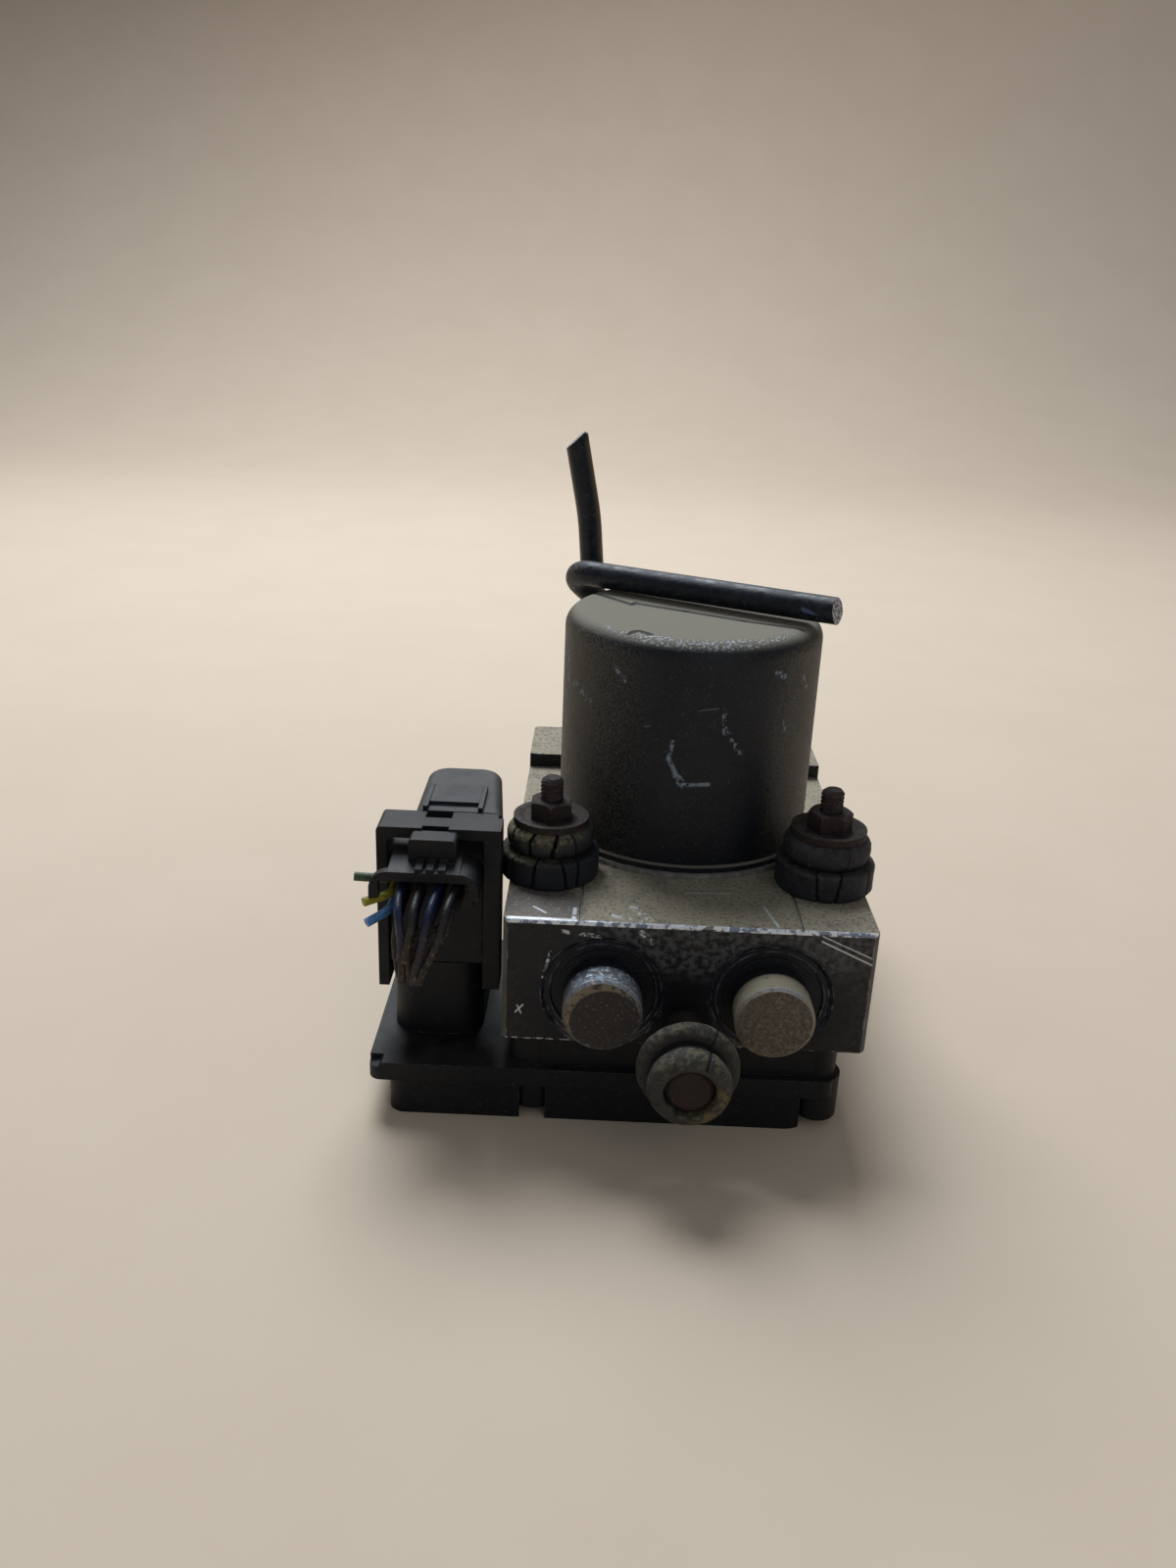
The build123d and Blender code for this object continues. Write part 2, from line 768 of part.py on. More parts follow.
with BuildPart() as ecu_housing:
    # base plate with the wing that carries the plug
    with BuildSketch(Plane.XY.offset(plate_bottom)) as plate_outline:
        with BuildLine():
            Polyline(
                (plate_left, block_front), (plate_right, block_front), (plate_right, plate_rear),
                (wing_right, plate_rear), (wing_right, wing_rear), (plate_left, wing_rear),
                close=True,
            )
        make_face()
        fillet(plate_outline.vertices(), plate_corner)
    extrude(amount=plate_thickness)

    # chipped front left corner of the wing
    with BuildSketch(Plane.XZ.offset(-block_front)):
        with BuildLine():
            Polyline(
                (plate_left - cut_margin, plate_top + cut_margin),
                (plate_left + chip_length, plate_top + cut_margin),
                (plate_left + chip_waist, plate_top - chip_waist_depth),
                (plate_left - cut_margin, plate_top - chip_side_depth),
                close=True,
            )
        make_face()
    extrude(amount=-chip_reach, mode=Mode.SUBTRACT)

    # riser that meets the block's underside
    with BuildSketch(Plane.XY.offset(plate_top)):
        with Locations(((riser_left + riser_right) / 2, (riser_front + riser_rear) / 2)):
            RectangleRounded(riser_right - riser_left, riser_rear - riser_front, riser_corner)
            RectangleRounded(
                riser_right - riser_left - 2 * riser_wall, riser_rear - riser_front - 2 * riser_wall,
                riser_corner - riser_wall / 2, mode=Mode.SUBTRACT,
            )
    extrude(amount=riser_top - plate_top)

    # screw bosses
    with BuildSketch(Plane.XY.offset(boss_bottom)):
        with Locations(*boss_points):
            Circle(boss_radius)
    extrude(amount=plate_top - boss_bottom)
    with BuildSketch(Plane.XY.offset(plate_top)):
        with Locations(*boss_points):
            Circle(boss_neck_radius)
    extrude(amount=riser_top - plate_top)
    drill(
        Plane.XY.offset(boss_bottom), boss_points, unit_screw_radius + seated_fit,
        block_bottom - boss_bottom,
    )
    drill(
        Plane.XY.offset(boss_bottom), boss_points, unit_screw_head_radius + seated_fit,
        unit_screw_head_height + board_thickness,
    )

    # the front right boss is torn off at a slant below the plate
    torn_boss = (boss_x[1], boss_y[0])
    with BuildSketch(Plane.XZ.offset(-torn_boss[1] - boss_radius - cut_margin)):
        with BuildLine():
            Polyline(
                (torn_boss[0] - boss_radius, boss_bottom - cut_margin),
                (torn_boss[0] + boss_radius + cut_margin, boss_bottom - cut_margin),
                (torn_boss[0] + boss_radius + cut_margin, boss_bottom + torn_boss_height * 2),
                (torn_boss[0] + boss_radius * 0.3, boss_bottom + torn_boss_height * 0.6),
                close=True,
            )
        make_face()
    extrude(amount=-2 * (boss_radius + cut_margin), mode=Mode.SUBTRACT)

    # seats of the coils and the motor contact, and posts for the circuit board
    drill(Plane.XY.offset(plate_bottom), valve_points, coil_radius + seated_fit, plate_thickness)
    drill(
        Plane.XY.offset(plate_bottom), [(0, contact_y)], contact_radius + seated_fit, plate_thickness
    )
    board_posts = [(side * post_x, row * post_y) for side in (-1, 1) for row in (-1, 0, 1)]
    with BuildSketch(Plane.XY.offset(board_top)):
        with Locations(*board_posts):
            Circle(post_radius)
    extrude(amount=plate_bottom - board_top)

    # socket for the plug, with holes for its terminals
    with BuildSketch(Plane.XY.offset(plate_top)):
        with Locations(socket_centre):
            RectangleRounded(socket_right - socket_left, socket_length, socket_corner)
            RectangleRounded(
                socket_right - socket_left - 2 * socket_wall, socket_length - 2 * socket_wall,
                socket_corner - socket_wall, mode=Mode.SUBTRACT,
            )
    extrude(amount=socket_height)
    with BuildSketch(Plane.XY.offset(plate_bottom)):
        with Locations(socket_centre):
            with GridLocations(pin_pitch * 1.5, pin_pitch, pin_rows, pin_columns):
                Rectangle(terminal_hole, terminal_hole)
    extrude(amount=plate_thickness, mode=Mode.SUBTRACT)

save(ecu_housing.part, "ecu_housing")


def cover_outline(inset):
    """The cover's outline, drawn in by inset, with a pocket round each screw boss."""
    with BuildSketch(Plane.XY) as outline:
        with BuildLine():
            Polyline(
                (cover_left + inset, cover_front + inset), (cover_right - inset, cover_front + inset),
                (cover_right - inset, cover_rear - inset),
                (wing_right + cover_rear_inset + inset, cover_rear - inset),
                (wing_right + cover_rear_inset + inset, cover_wing_rear - inset),
                (cover_left + inset, cover_wing_rear - inset),
                close=True,
            )
        make_face()
        right_front = outline.vertices().sort_by(Axis.Y)[:2].sort_by(Axis.X)[-1]
        fillet(right_front, cover_front_corner - inset)
        left_corners = outline.vertices().filter_by(lambda corner: corner.X < riser_left + riser_wall)
        fillet(left_corners, cover_corner - inset)
        with Locations(*boss_points):
            Circle(boss_radius + boss_pocket_gap + inset, mode=Mode.SUBTRACT)
    return outline.sketch.faces().sort_by(SortBy.AREA)[-1]


cover_outside = cover_outline(0)
cover_inside = cover_outline(cover_wall).moved(Location((0, 0, cover_wall)))
board_outline = cover_outline(board_inset).moved(Location((0, 0, board_bottom)))

with BuildPart() as ecu_cover:
    extrude(cover_outside, amount=cover_height)
    extrude(cover_inside, amount=cover_height, mode=Mode.SUBTRACT)

save(ecu_cover.part, "ecu_cover")

with BuildPart() as ecu_gasket:
    with BuildSketch(Plane.XY.offset(riser_top)):
        with Locations(((riser_left + riser_right) / 2, (riser_front + riser_rear) / 2)):
            RectangleRounded(riser_right - riser_left, riser_rear - riser_front, riser_corner)
            RectangleRounded(
                riser_right - riser_left - 2 * riser_wall, riser_rear - riser_front - 2 * riser_wall,
                riser_corner - riser_wall / 2, mode=Mode.SUBTRACT,
            )
        with Locations(*boss_points):
            Circle(boss_neck_radius)
            Circle(unit_screw_radius + seated_fit, mode=Mode.SUBTRACT)
    extrude(amount=gasket_thickness)

save(ecu_gasket.part, "ecu_gasket")

with BuildPart() as circuit_board:
    extrude(board_outline, amount=board_thickness)

save(circuit_board.part, "circuit_board")

with BuildPart() as connector_pins:
    with BuildSketch(Plane.XY.offset(board_top)):
        with Locations(socket_centre):
            with GridLocations(pin_pitch * 1.5, pin_pitch, pin_rows, pin_columns):
                Rectangle(terminal_size, terminal_size)
    extrude(amount=plate_top + terminal_length - board_top)

save(connector_pins.part, "connector_pins")

with BuildPart() as ecu_screws:
    screw_seat = boss_bottom + unit_screw_head_height + board_thickness
    for x, y in boss_points:
        ring(
            upright(x, y, 0), 0, unit_screw_head_radius,
            screw_seat - unit_screw_head_height, screw_seat,
        )
        ring(
            upright(x, y, 0), 0, unit_screw_radius, screw_seat,
            block_bottom + unit_screw_depth_in_block,
        )
    with BuildSketch(Plane.XY.offset(screw_seat - unit_screw_head_height)):
        with Locations(*boss_points):
            RegularPolygon(unit_screw_socket, 6)
    extrude(amount=unit_screw_head_height / 2, mode=Mode.SUBTRACT)

save(ecu_screws.part, "ecu_screws")

with BuildPart() as motor_contact:
    ring(upright(0, contact_y, 0), 0, contact_radius, board_top, end_plate_top)

save(motor_contact.part, "motor_contact")

# ---------------------------------------------------------------- motor housing

with BuildPart() as motor_can:
    lathe(
        upright(0, 0, 0),
        [
            (0, can_top),
            (can_radius, can_top),
            (can_radius, end_plate_top + can_flange_thickness),
            (can_flange_radius, end_plate_top + can_flange_thickness),
            (can_flange_radius, end_plate_top),
            (can_inner_radius, end_plate_top),
            (can_inner_radius, can_ceiling),
            (top_bush_radius + top_cup_wall, can_ceiling),
            (top_bush_radius + top_cup_wall, top_bush_bottom),
            (top_bush_radius, top_bush_bottom),
            (top_bush_radius, top_bush_top),
            (0, top_bush_top),
        ],
    )
    rims = motor_can.edges().filter_by(GeomType.CIRCLE)
    fillet(
        rims.filter_by(lambda e: abs(e.radius - can_radius) < 0.01).sort_by(Axis.Z)[-1],
        can_top_fillet,
    )
    rims = motor_can.edges().filter_by(GeomType.CIRCLE)
    fillet(
        rims.filter_by(lambda e: abs(e.radius - can_inner_radius) < 0.01).sort_by(Axis.Z)[-1],
        can_top_fillet - can_wall,
    )

save(motor_can.part, "motor_can")

with BuildPart() as motor_end_plate:
    lathe(
        upright(0, 0, 0),
        [
            (shaft_hole_radius, bearing_top),
            (spigot_radius - seated_fit, bearing_top),
            (spigot_radius - seated_fit, block_top),
            (end_plate_radius, block_top),
            (end_plate_radius, end_plate_top),
            (shaft_hole_radius, end_plate_top),
        ],
    )
    drill(
        Plane.XY.offset(bearing_top), [(0, contact_y)], contact_radius + seated_fit,
        end_plate_top - bearing_top,
    )

save(motor_end_plate.part, "motor_end_plate")

with BuildPart() as motor_bearings:
    ring(
        upright(0, 0, 0), shaft_radius + running_fit, bearing_radius - seated_fit,
        bearing_bottom, bearing_top,
    )
    ring(
        upright(0, 0, 0), shaft_radius + running_fit, top_bush_radius - seated_fit,
        top_bush_bottom, top_bush_top,
    )

save(motor_bearings.part, "motor_bearings")

with BuildPart() as motor_magnets:
    for turn in (0, 180):
        with BuildSketch(Plane.XY.offset(magnet_bottom).rotated((0, 0, turn))):
            with BuildLine():
                CenterArc((0, 0), magnet_radius_inner, -magnet_arc / 2, magnet_arc)
                CenterArc((0, 0), can_inner_radius - seated_fit, -magnet_arc / 2, magnet_arc)
                for end in (-1, 1):
                    angle = radians(end * magnet_arc / 2)
                    Line(
                        (magnet_radius_inner * cos(angle), magnet_radius_inner * sin(angle)),
                        (
                            (can_inner_radius - seated_fit) * cos(angle),
                            (can_inner_radius - seated_fit) * sin(angle),
                        ),
                    )
            make_face()
        extrude(amount=magnet_length)

save(motor_magnets.part, "motor_magnets")

brush_rest = commutator_radius + running_fit
box_outer = brush_size + 2 * brush_box_wall

with BuildPart() as brush_plate:
    ring(
        upright(0, 0, 0), brush_plate_hole, can_inner_radius - seated_fit,
        end_plate_top, brush_plate_top,
    )
    for side in (-1, 1):
        inner = side * (brush_plate_hole + cut_margin)
        outer = side * (brush_plate_hole + cut_margin + brush_box_length)
        block_of(
            min(inner, outer), max(inner, outer), -box_outer / 2, box_outer / 2,
            brush_plate_top, brush_plate_top + box_outer,
        )
        channel_end = outer - side * brush_box_wall
        block_of(
            min(inner, channel_end), max(inner, channel_end),
            -brush_size / 2 - seated_fit, brush_size / 2 + seated_fit,
            brush_plate_top + brush_box_wall - seated_fit,
            brush_plate_top + brush_box_wall + brush_size + seated_fit, Mode.SUBTRACT,
        )

save(brush_plate.part, "brush_plate")

with BuildPart() as motor_brushes:
    for side in (-1, 1):
        tip = side * brush_rest
        heel = side * (brush_rest + brush_length)
        block_of(
            min(tip, heel), max(tip, heel), -brush_size / 2, brush_size / 2,
            brush_z - brush_size / 2, brush_z + brush_size / 2,
        )
    ring(upright(0, 0, 0), 0, brush_rest, brush_z - brush_size, brush_z + brush_size, Mode.SUBTRACT)

save(motor_brushes.part, "motor_brushes")

spring_room = (
    brush_plate_hole + cut_margin + brush_box_length - brush_box_wall - brush_rest - brush_length
)
brush_springs = Compound(
    [
        coil_spring(
            (side * (brush_rest + brush_length), 0, brush_z), (side, 0, 0),
            brush_spring_radius, brush_spring_wire, brush_spring_turns, spring_room,
        ).solid()
        for side in (-1, 1)
    ]
)
save(brush_springs, "brush_springs")

# ---------------------------------------------------------------- rotor

with BuildPart() as motor_shaft:
    ring(upright(0, 0, 0), 0, shaft_radius, block_bottom + cam_chamber_floor + 1, top_bush_top - 1)
    ring(
        upright(0, eccentricity, 0), 0, journal_radius,
        pump_z - journal_length / 2, pump_z + journal_length / 2,
    )

save(motor_shaft.part, "motor_shaft")

with BuildPart() as eccentric_bearing:
    ring(
        upright(0, eccentricity, 0), journal_radius + seated_fit, cam_ring_radius,
        pump_z - journal_length / 2, pump_z + journal_length / 2,
    )

save(eccentric_bearing.part, "eccentric_bearing")

with BuildPart() as armature_core:
    ring(upright(0, 0, 0), shaft_radius + seated_fit, core_radius, core_bottom, core_top_z)
    with BuildSketch(Plane.XY.offset(core_bottom)):
        with PolarLocations(core_radius - core_slot_depth / 2, core_slots):
            Rectangle(core_slot_depth + cut_margin, core_slot_width)
    extrude(amount=core_length, mode=Mode.SUBTRACT)

save(armature_core.part, "armature_core")

with BuildPart() as armature_winding:
    for bottom in (core_bottom - winding_height, core_top_z):
        ring(
            upright(0, 0, 0), winding_radius_inner, winding_radius_outer,
            bottom, bottom + winding_height,
        )
    rims = armature_winding.edges().filter_by(GeomType.CIRCLE)
    fillet(rims.filter_by(lambda e: e.radius > core_radius / 2), winding_fillet)

save(armature_winding.part, "armature_winding")

with BuildPart() as commutator:
    ring(
        upright(0, 0, 0), shaft_radius + seated_fit, commutator_radius,
        commutator_bottom, commutator_bottom + commutator_length,
    )
    with BuildSketch(Plane.XY.offset(commutator_bottom)):
        with PolarLocations(commutator_radius, core_slots):
            Rectangle(2 * commutator_slot_depth, commutator_slot_width)
    extrude(amount=commutator_length, mode=Mode.SUBTRACT)

save(commutator.part, "commutator")

# ---------------------------------------------------------------- brake pipes

pipe_start = land_top - pipe_insertion
pipe_level = can_top + pipe_radius + pipe_over_can
long_pipe_route = [
    (port_x[1], port_y, pipe_start),
    (port_x[1], port_y, 88.0),
    (-20.0, 38.0, 106.0),
    (-35.0, 25.2, pipe_level),
    (35.5, -14.0, pipe_level + 0.8),
]
long_pipe_radii = [pipe_bend_radius, pipe_bend_radius, pipe_knuckle_radius]
upright_pipe_route = [
    (port_x[0], port_y, pipe_start),
    (port_x[0], port_y, 104.0),
    (-29.6, port_y, 133.0),
    (-34.6, port_y, 157.5),
]
upright_pipe_radii = [60.0, 90.0]


def bent_tube(route, radii, radius, bore=0.0):
    """A round tube, or a wire where bore is 0, along straight runs joined by tangent arcs."""
    line = FilletPolyline(*route, radius=radii)
    end = Plane(line @ 0, z_dir=line % 0)
    tube = sweep(end * Circle(radius), path=line)
    if bore:
        last, before = Vector(*route[-1]), Vector(*route[-2])
        shut = last - (last - before).normalized() * pipe_shut_length
        tube -= sweep(end * Circle(bore), path=FilletPolyline(*route[:-1], tuple(shut), radius=radii))
    return tube


long_tube = bent_tube(long_pipe_route, long_pipe_radii, pipe_radius, pipe_bore)

with BuildPart() as brake_pipe_long:
    add(long_tube)
    # cut off by pliers
    tip = Vector(*long_pipe_route[-1])
    with BuildSketch(Plane(tip, x_dir=cut_face_x, z_dir=cut_face_normal)):
        with BuildLine():
            Polyline(*long_cut, close=True)
        make_face()
    extrude(amount=pipe_radius * 2, both=True, mode=Mode.SUBTRACT)

save(brake_pipe_long.part, "brake_pipe_long")

upright_tube = bent_tube(upright_pipe_route, upright_pipe_radii, pipe_radius, pipe_bore)

with BuildPart() as brake_pipe_upright:
    add(upright_tube)
    top = Vector(*upright_pipe_route[-1])
    with BuildSketch(Plane(top, x_dir=(1, 0, 0), z_dir=(0, -1, 0))):
        with BuildLine():
            Polyline(*upright_cut, close=True)
        make_face()
    extrude(amount=pipe_radius * 2, both=True, mode=Mode.SUBTRACT)

save(brake_pipe_upright.part, "brake_pipe_upright")

with BuildPart() as pipe_nuts:
    with BuildSketch(Plane.XY.offset(land_top)):
        with Locations((port_x[0], port_y), (port_x[1], port_y)):
            RegularPolygon(pipe_nut_across_flats / 2, 6, major_radius=False)
    extrude(amount=pipe_nut_height)
    for x in port_x[:2]:
        ring(
            upright(x, port_y, 0), 0, port_radius - seated_fit, pipe_start, land_top,
        )
    for x in port_x[:2]:
        ring(
            upright(x, port_y, 0), 0, pipe_radius + seated_fit,
            pipe_start - cut_margin, land_top + pipe_nut_height + cut_margin, Mode.SUBTRACT,
        )

save(pipe_nuts.part, "pipe_nuts")

# ---------------------------------------------------------------- top mountings

stud_top = block_top + stud_height
ring_top = block_top + ring_height
bush_top = ring_top + bush_height
washer_top = bush_top + washer_thickness
nut_top = washer_top + nut_height
stud_shank = stud_radius - seated_fit
stud_core = stud_core_radius - seated_fit

with BuildPart() as mounting_studs:
    for x, y in stud_points:
        lathe(
            upright(x, y, 0),
            [
                (0, block_top - stud_depth + cut_margin),
                (stud_core, block_top - stud_depth + cut_margin),
                (stud_core, nut_top + thread_start_gap),
                (stud_shank, nut_top + thread_start_gap),
                (stud_shank, stud_top - stud_chamfer),
                (stud_shank - stud_chamfer, stud_top),
                (0, stud_top),
            ],
        )

save(mounting_studs.part, "mounting_studs")

with BuildPart() as rubber_rings:
    for x, y in stud_points:
        ring(upright(x, y, 0), stud_radius, ring_radius, block_top, ring_top)

save(rubber_rings.part, "rubber_rings")

with BuildPart() as rubber_bushes:
    for x, y in stud_points:
        ring(upright(x, y, 0), stud_radius, bush_radius, ring_top, bush_top)
    bush_edges = rubber_bushes.edges().filter_by(GeomType.CIRCLE)
    fillet(bush_edges.filter_by(lambda e: e.radius > bush_radius - 1), bush_fillet)

save(rubber_bushes.part, "rubber_bushes")

with BuildPart() as mount_washers:
    for x, y in stud_points:
        lathe(
            upright(x, y, 0),
            [
                (stud_radius, bush_top),
                (washer_radius, bush_top),
                (washer_radius, washer_top + washer_rim),
                (washer_radius - washer_rim_width, washer_top + washer_rim),
                (washer_radius - 2 * washer_rim_width, washer_top),
                (stud_radius, washer_top),
            ],
        )

save(mount_washers.part, "mount_washers")

# the left nut stopped with a corner to the front, the right one with a flat
nut_turns = (30, 0)

with BuildPart() as mount_nuts:
    for (x, y), turn in zip(stud_points, nut_turns):
        with BuildSketch(Plane.XY.offset(washer_top)):
            with Locations(Location((x, y, 0), (0, 0, turn))):
                RegularPolygon(nut_across_flats / 2, 6, major_radius=False)
        extrude(amount=nut_height)
    for x, y in stud_points:
        corner_radius = nut_across_flats / sqrt(3)
        lathe(
            upright(x, y, 0),
            [
                (corner_radius + cut_margin, nut_top + cut_margin),
                (corner_radius + cut_margin, nut_top - nut_chamfer),
                (corner_radius, nut_top - nut_chamfer),
                (nut_across_flats / 2 - 0.2, nut_top),
                (nut_across_flats / 2 - 0.2, nut_top + cut_margin),
            ],
            Mode.SUBTRACT,
        )
        ring(
            upright(x, y, 0), 0, stud_core_radius, washer_top - cut_margin, nut_top + cut_margin,
            Mode.SUBTRACT,
        )

save(mount_nuts.part, "mount_nuts")

# ---------------------------------------------------------------- front mounting

pin_plane = forward(0, block_front, block_bottom + pin_height)
grommet_front = pin_collar_length + grommet_flange_thickness
groove_front = grommet_front + grommet_groove_width
nose_front = groove_front + grommet_nose_length
recess_floor = nose_front - grommet_recess_depth

with BuildPart() as lower_pin:
    lathe(
        pin_plane,
        [
            (0, -pin_thread_depth + cut_margin),
            (stud_shank, -pin_thread_depth + cut_margin),
            (stud_shank, 0),
            (pin_collar_radius, 0),
            (pin_collar_radius, pin_collar_length - pin_seat_thickness),
            (pin_seat_radius, pin_collar_length - pin_seat_thickness),
            (pin_seat_radius, pin_collar_length),
            (pin_shank_radius, pin_collar_length),
            (pin_shank_radius, recess_floor),
            (pin_head_radius, recess_floor),
            (pin_head_radius, recess_floor + pin_head_length - 0.8),
            (pin_head_radius - 1.2, recess_floor + pin_head_length),
            (0, recess_floor + pin_head_length),
        ],
    )

save(lower_pin.part, "lower_pin")

with BuildPart() as lower_grommet:
    lathe(
        pin_plane,
        [
            (pin_shank_radius + seated_fit, pin_collar_length),
            (grommet_flange_radius - 1.0, pin_collar_length),
            (grommet_flange_radius, pin_collar_length + 1.0),
            (grommet_flange_radius, grommet_front - 1.2),
            (grommet_flange_radius - 1.2, grommet_front),
            (grommet_groove_radius, grommet_front),
            (grommet_groove_radius, groove_front),
            (grommet_lip_radius, groove_front),
            (grommet_lip_radius, nose_front),
            (pin_head_radius + 0.5, nose_front),
            (pin_head_radius + 0.5, recess_floor),
            (pin_shank_radius + seated_fit, recess_floor),
        ],
    )

    nose_rim = lower_grommet.edges().filter_by(GeomType.CIRCLE).group_by(Axis.Y)[0].sort_by(Edge.length)
    fillet(nose_rim[-1], grommet_nose_fillet)

save(lower_grommet.part, "lower_grommet")

# ---------------------------------------------------------------- plug

plug_left = socket_left - arm_gap - arm_thickness
plug_right = socket_right + arm_gap + arm_thickness - 0.1
plug_front = block_front + plug_front_inset
arm_back = plug_front + arm_length
crossbar_back = plug_front + crossbar_depth
core_bottom_z = socket_top + arm_gap
core_front = socket_front
rear_core_front = core_front + core_front_length
rear_core_back = rear_core_front + rear_core_length
crossbar_bottom = plug_top - crossbar_height
hood_right = socket_right - 0.1
hood_front = core_front - hood_reach
nose_gap = socket_wall + side_gap
lever_left = rear_core_left - side_gap - lever_arm_thickness
lever_right = rear_core_right + side_gap + lever_arm_thickness

with BuildPart() as plug_housing:
    # body over the socket, and the nose that enters it
    block_of(socket_left, socket_right - 0.1, core_front, rear_core_front, core_bottom_z, hood_top)
    block_of(
        rear_core_left, rear_core_right, rear_core_front, rear_core_back, core_bottom_z, core_top
    )
    with BuildSketch(Plane.XY.offset(core_bottom_z - plug_nose_depth)):
        with Locations(socket_centre):
            RectangleRounded(
                socket_right - socket_left - 2 * nose_gap, socket_length - 2 * nose_gap,
                socket_corner - nose_gap,
            )
    extrude(amount=plug_nose_depth)
    with BuildSketch(Plane.XY.offset(core_bottom_z - plug_nose_depth)):
        with Locations(socket_centre):
            with GridLocations(pin_pitch * 1.5, pin_pitch, pin_rows, pin_columns):
                Rectangle(2 * terminal_hole, 2 * terminal_hole)
    extrude(amount=terminal_length, mode=Mode.SUBTRACT)

    # side arms and the crossbar over them
    block_of(plug_left, plug_left + arm_thickness, plug_front, arm_back, arm_bottom, plug_top)
    block_of(plug_right - arm_thickness, plug_right, plug_front, arm_back, arm_bottom, plug_top)
    block_of(
        plug_right - arm_thickness, plug_right + arm_rib, plug_front, plug_front + arm_rib_depth,
        arm_bottom, plug_top,
    )
    with BuildSketch(Plane.XY.offset(crossbar_bottom)):
        with BuildLine():
            Polyline(
                (plug_left, plug_front), (plug_right + arm_rib, plug_front),
                (plug_right, crossbar_back), (plug_left + crossbar_taper, crossbar_back),
                close=True,
            )
        make_face()
    extrude(amount=crossbar_height)
    block_of(
        plug_left + arm_thickness - cut_margin, plug_right - arm_thickness + cut_margin,
        core_front, rear_core_front, core_bottom_z, core_bottom_z + 2,
    )
    notch_left = (plug_left + plug_right) / 2 - crossbar_notch_width / 2
    block_of(
        notch_left, notch_left + crossbar_notch_width, plug_front - cut_margin,
        plug_front + crossbar_notch_depth, plug_top - crossbar_notch_depth, plug_top + cut_margin,
        Mode.SUBTRACT,
    )
    block_of(
        notch_left, notch_left + crossbar_notch_width, crossbar_back - crossbar_pocket_length,
        crossbar_back + cut_margin, plug_top - crossbar_notch_depth, plug_top + cut_margin,
        Mode.SUBTRACT,
    )
    arm_edges = plug_housing.edges().filter_by(Axis.Y).group_by(Axis.Z)[-1]
    fillet(arm_edges.sort_by(Axis.X)[0], 1.2)

    # cable hood: a sloping ribbed roof, rounded down on the right, with an arched lip at its mouth
    hood_roof_plane = Plane.YZ.offset(hood_left + lip_corner)
    hood_span = hood_right - hood_left - lip_corner
    with BuildSketch(hood_roof_plane):
        with BuildLine():
            Polyline(
                (hood_front, hood_top - hood_roof), (hood_front, hood_top),
                (core_front, hood_top + hood_rise), (core_front, hood_top - hood_roof),
                close=True,
            )
        make_face()
    extrude(amount=hood_span - lip_corner)
    block_of(
        hood_right - hood_roof, hood_right, hood_front, core_front,
        hood_top - lip_height, hood_top - lip_corner,
    )
    with BuildSketch(Plane.XZ.offset(-hood_front)) as shoulder:
        with BuildLine():
            CenterArc((hood_right - lip_corner, hood_top - lip_corner), lip_corner, 0, 90)
            Polyline(
                (hood_right - lip_corner, hood_top),
                (hood_right - lip_corner, hood_top - hood_roof),
                (hood_right - hood_roof, hood_top - hood_roof),
                (hood_right - hood_roof, hood_top - lip_corner),
                (hood_right, hood_top - lip_corner),
            )
        make_face()
    extrude(amount=-hood_reach)
    with BuildSketch(Plane.XZ.offset(-hood_front)) as lip_arch:
        with Locations(((hood_left + hood_right) / 2, hood_top - lip_height / 2)):
            Rectangle(hood_right - hood_left, lip_height)
        fillet(lip_arch.vertices().group_by(Axis.Y)[-1], lip_corner)
        with Locations(((hood_left + hood_right) / 2, hood_top - lip_thickness - lip_height / 2)):
            Rectangle(hood_right - hood_left - 2 * lip_thickness, lip_height, mode=Mode.SUBTRACT)
    extrude(amount=-lip_thickness)
    for x in hood_rib_x:
        with BuildSketch(Plane.YZ.offset(x - hood_rib_width / 2)):
            with BuildLine():
                Polyline(
                    (hood_front + side_gap, hood_top - hood_roof / 2),
                    (hood_front + side_gap, hood_top + hood_rib_height),
                    (core_front, hood_top + hood_rise + hood_rib_height),
                    (core_front, hood_top - hood_roof / 2),
                    close=True,
                )
            make_face()
        extrude(amount=hood_rib_width)

    # catch in front of the crossbar
    with BuildSketch(Plane.XZ.offset(lug_reach - plug_front)) as lug_face:
        with Locations((lug_left + lug_width / 2, hood_top + (lug_height - hood_roof) / 2)):
            Rectangle(lug_width, lug_height + hood_roof)
        fillet(lug_face.vertices().group_by(Axis.Y)[-1], lug_fillet)
    extrude(amount=-lug_reach)

    # pivots for the lever
    for pivot_face, direction in ((rear_core_left, -1), (rear_core_right, 1)):
        with BuildSketch(Plane.YZ.offset(pivot_face)):
            with Locations((lever_pivot_y, lever_pivot_z)):
                Circle(lever_pin_radius)
        extrude(amount=direction * (side_gap + lever_arm_thickness))

save(plug_housing.part, "plug_housing")

lever_handle_bottom = plug_top - lever_handle_thickness
tongue_left = (lever_left + lever_right) / 2 - tongue_width / 2

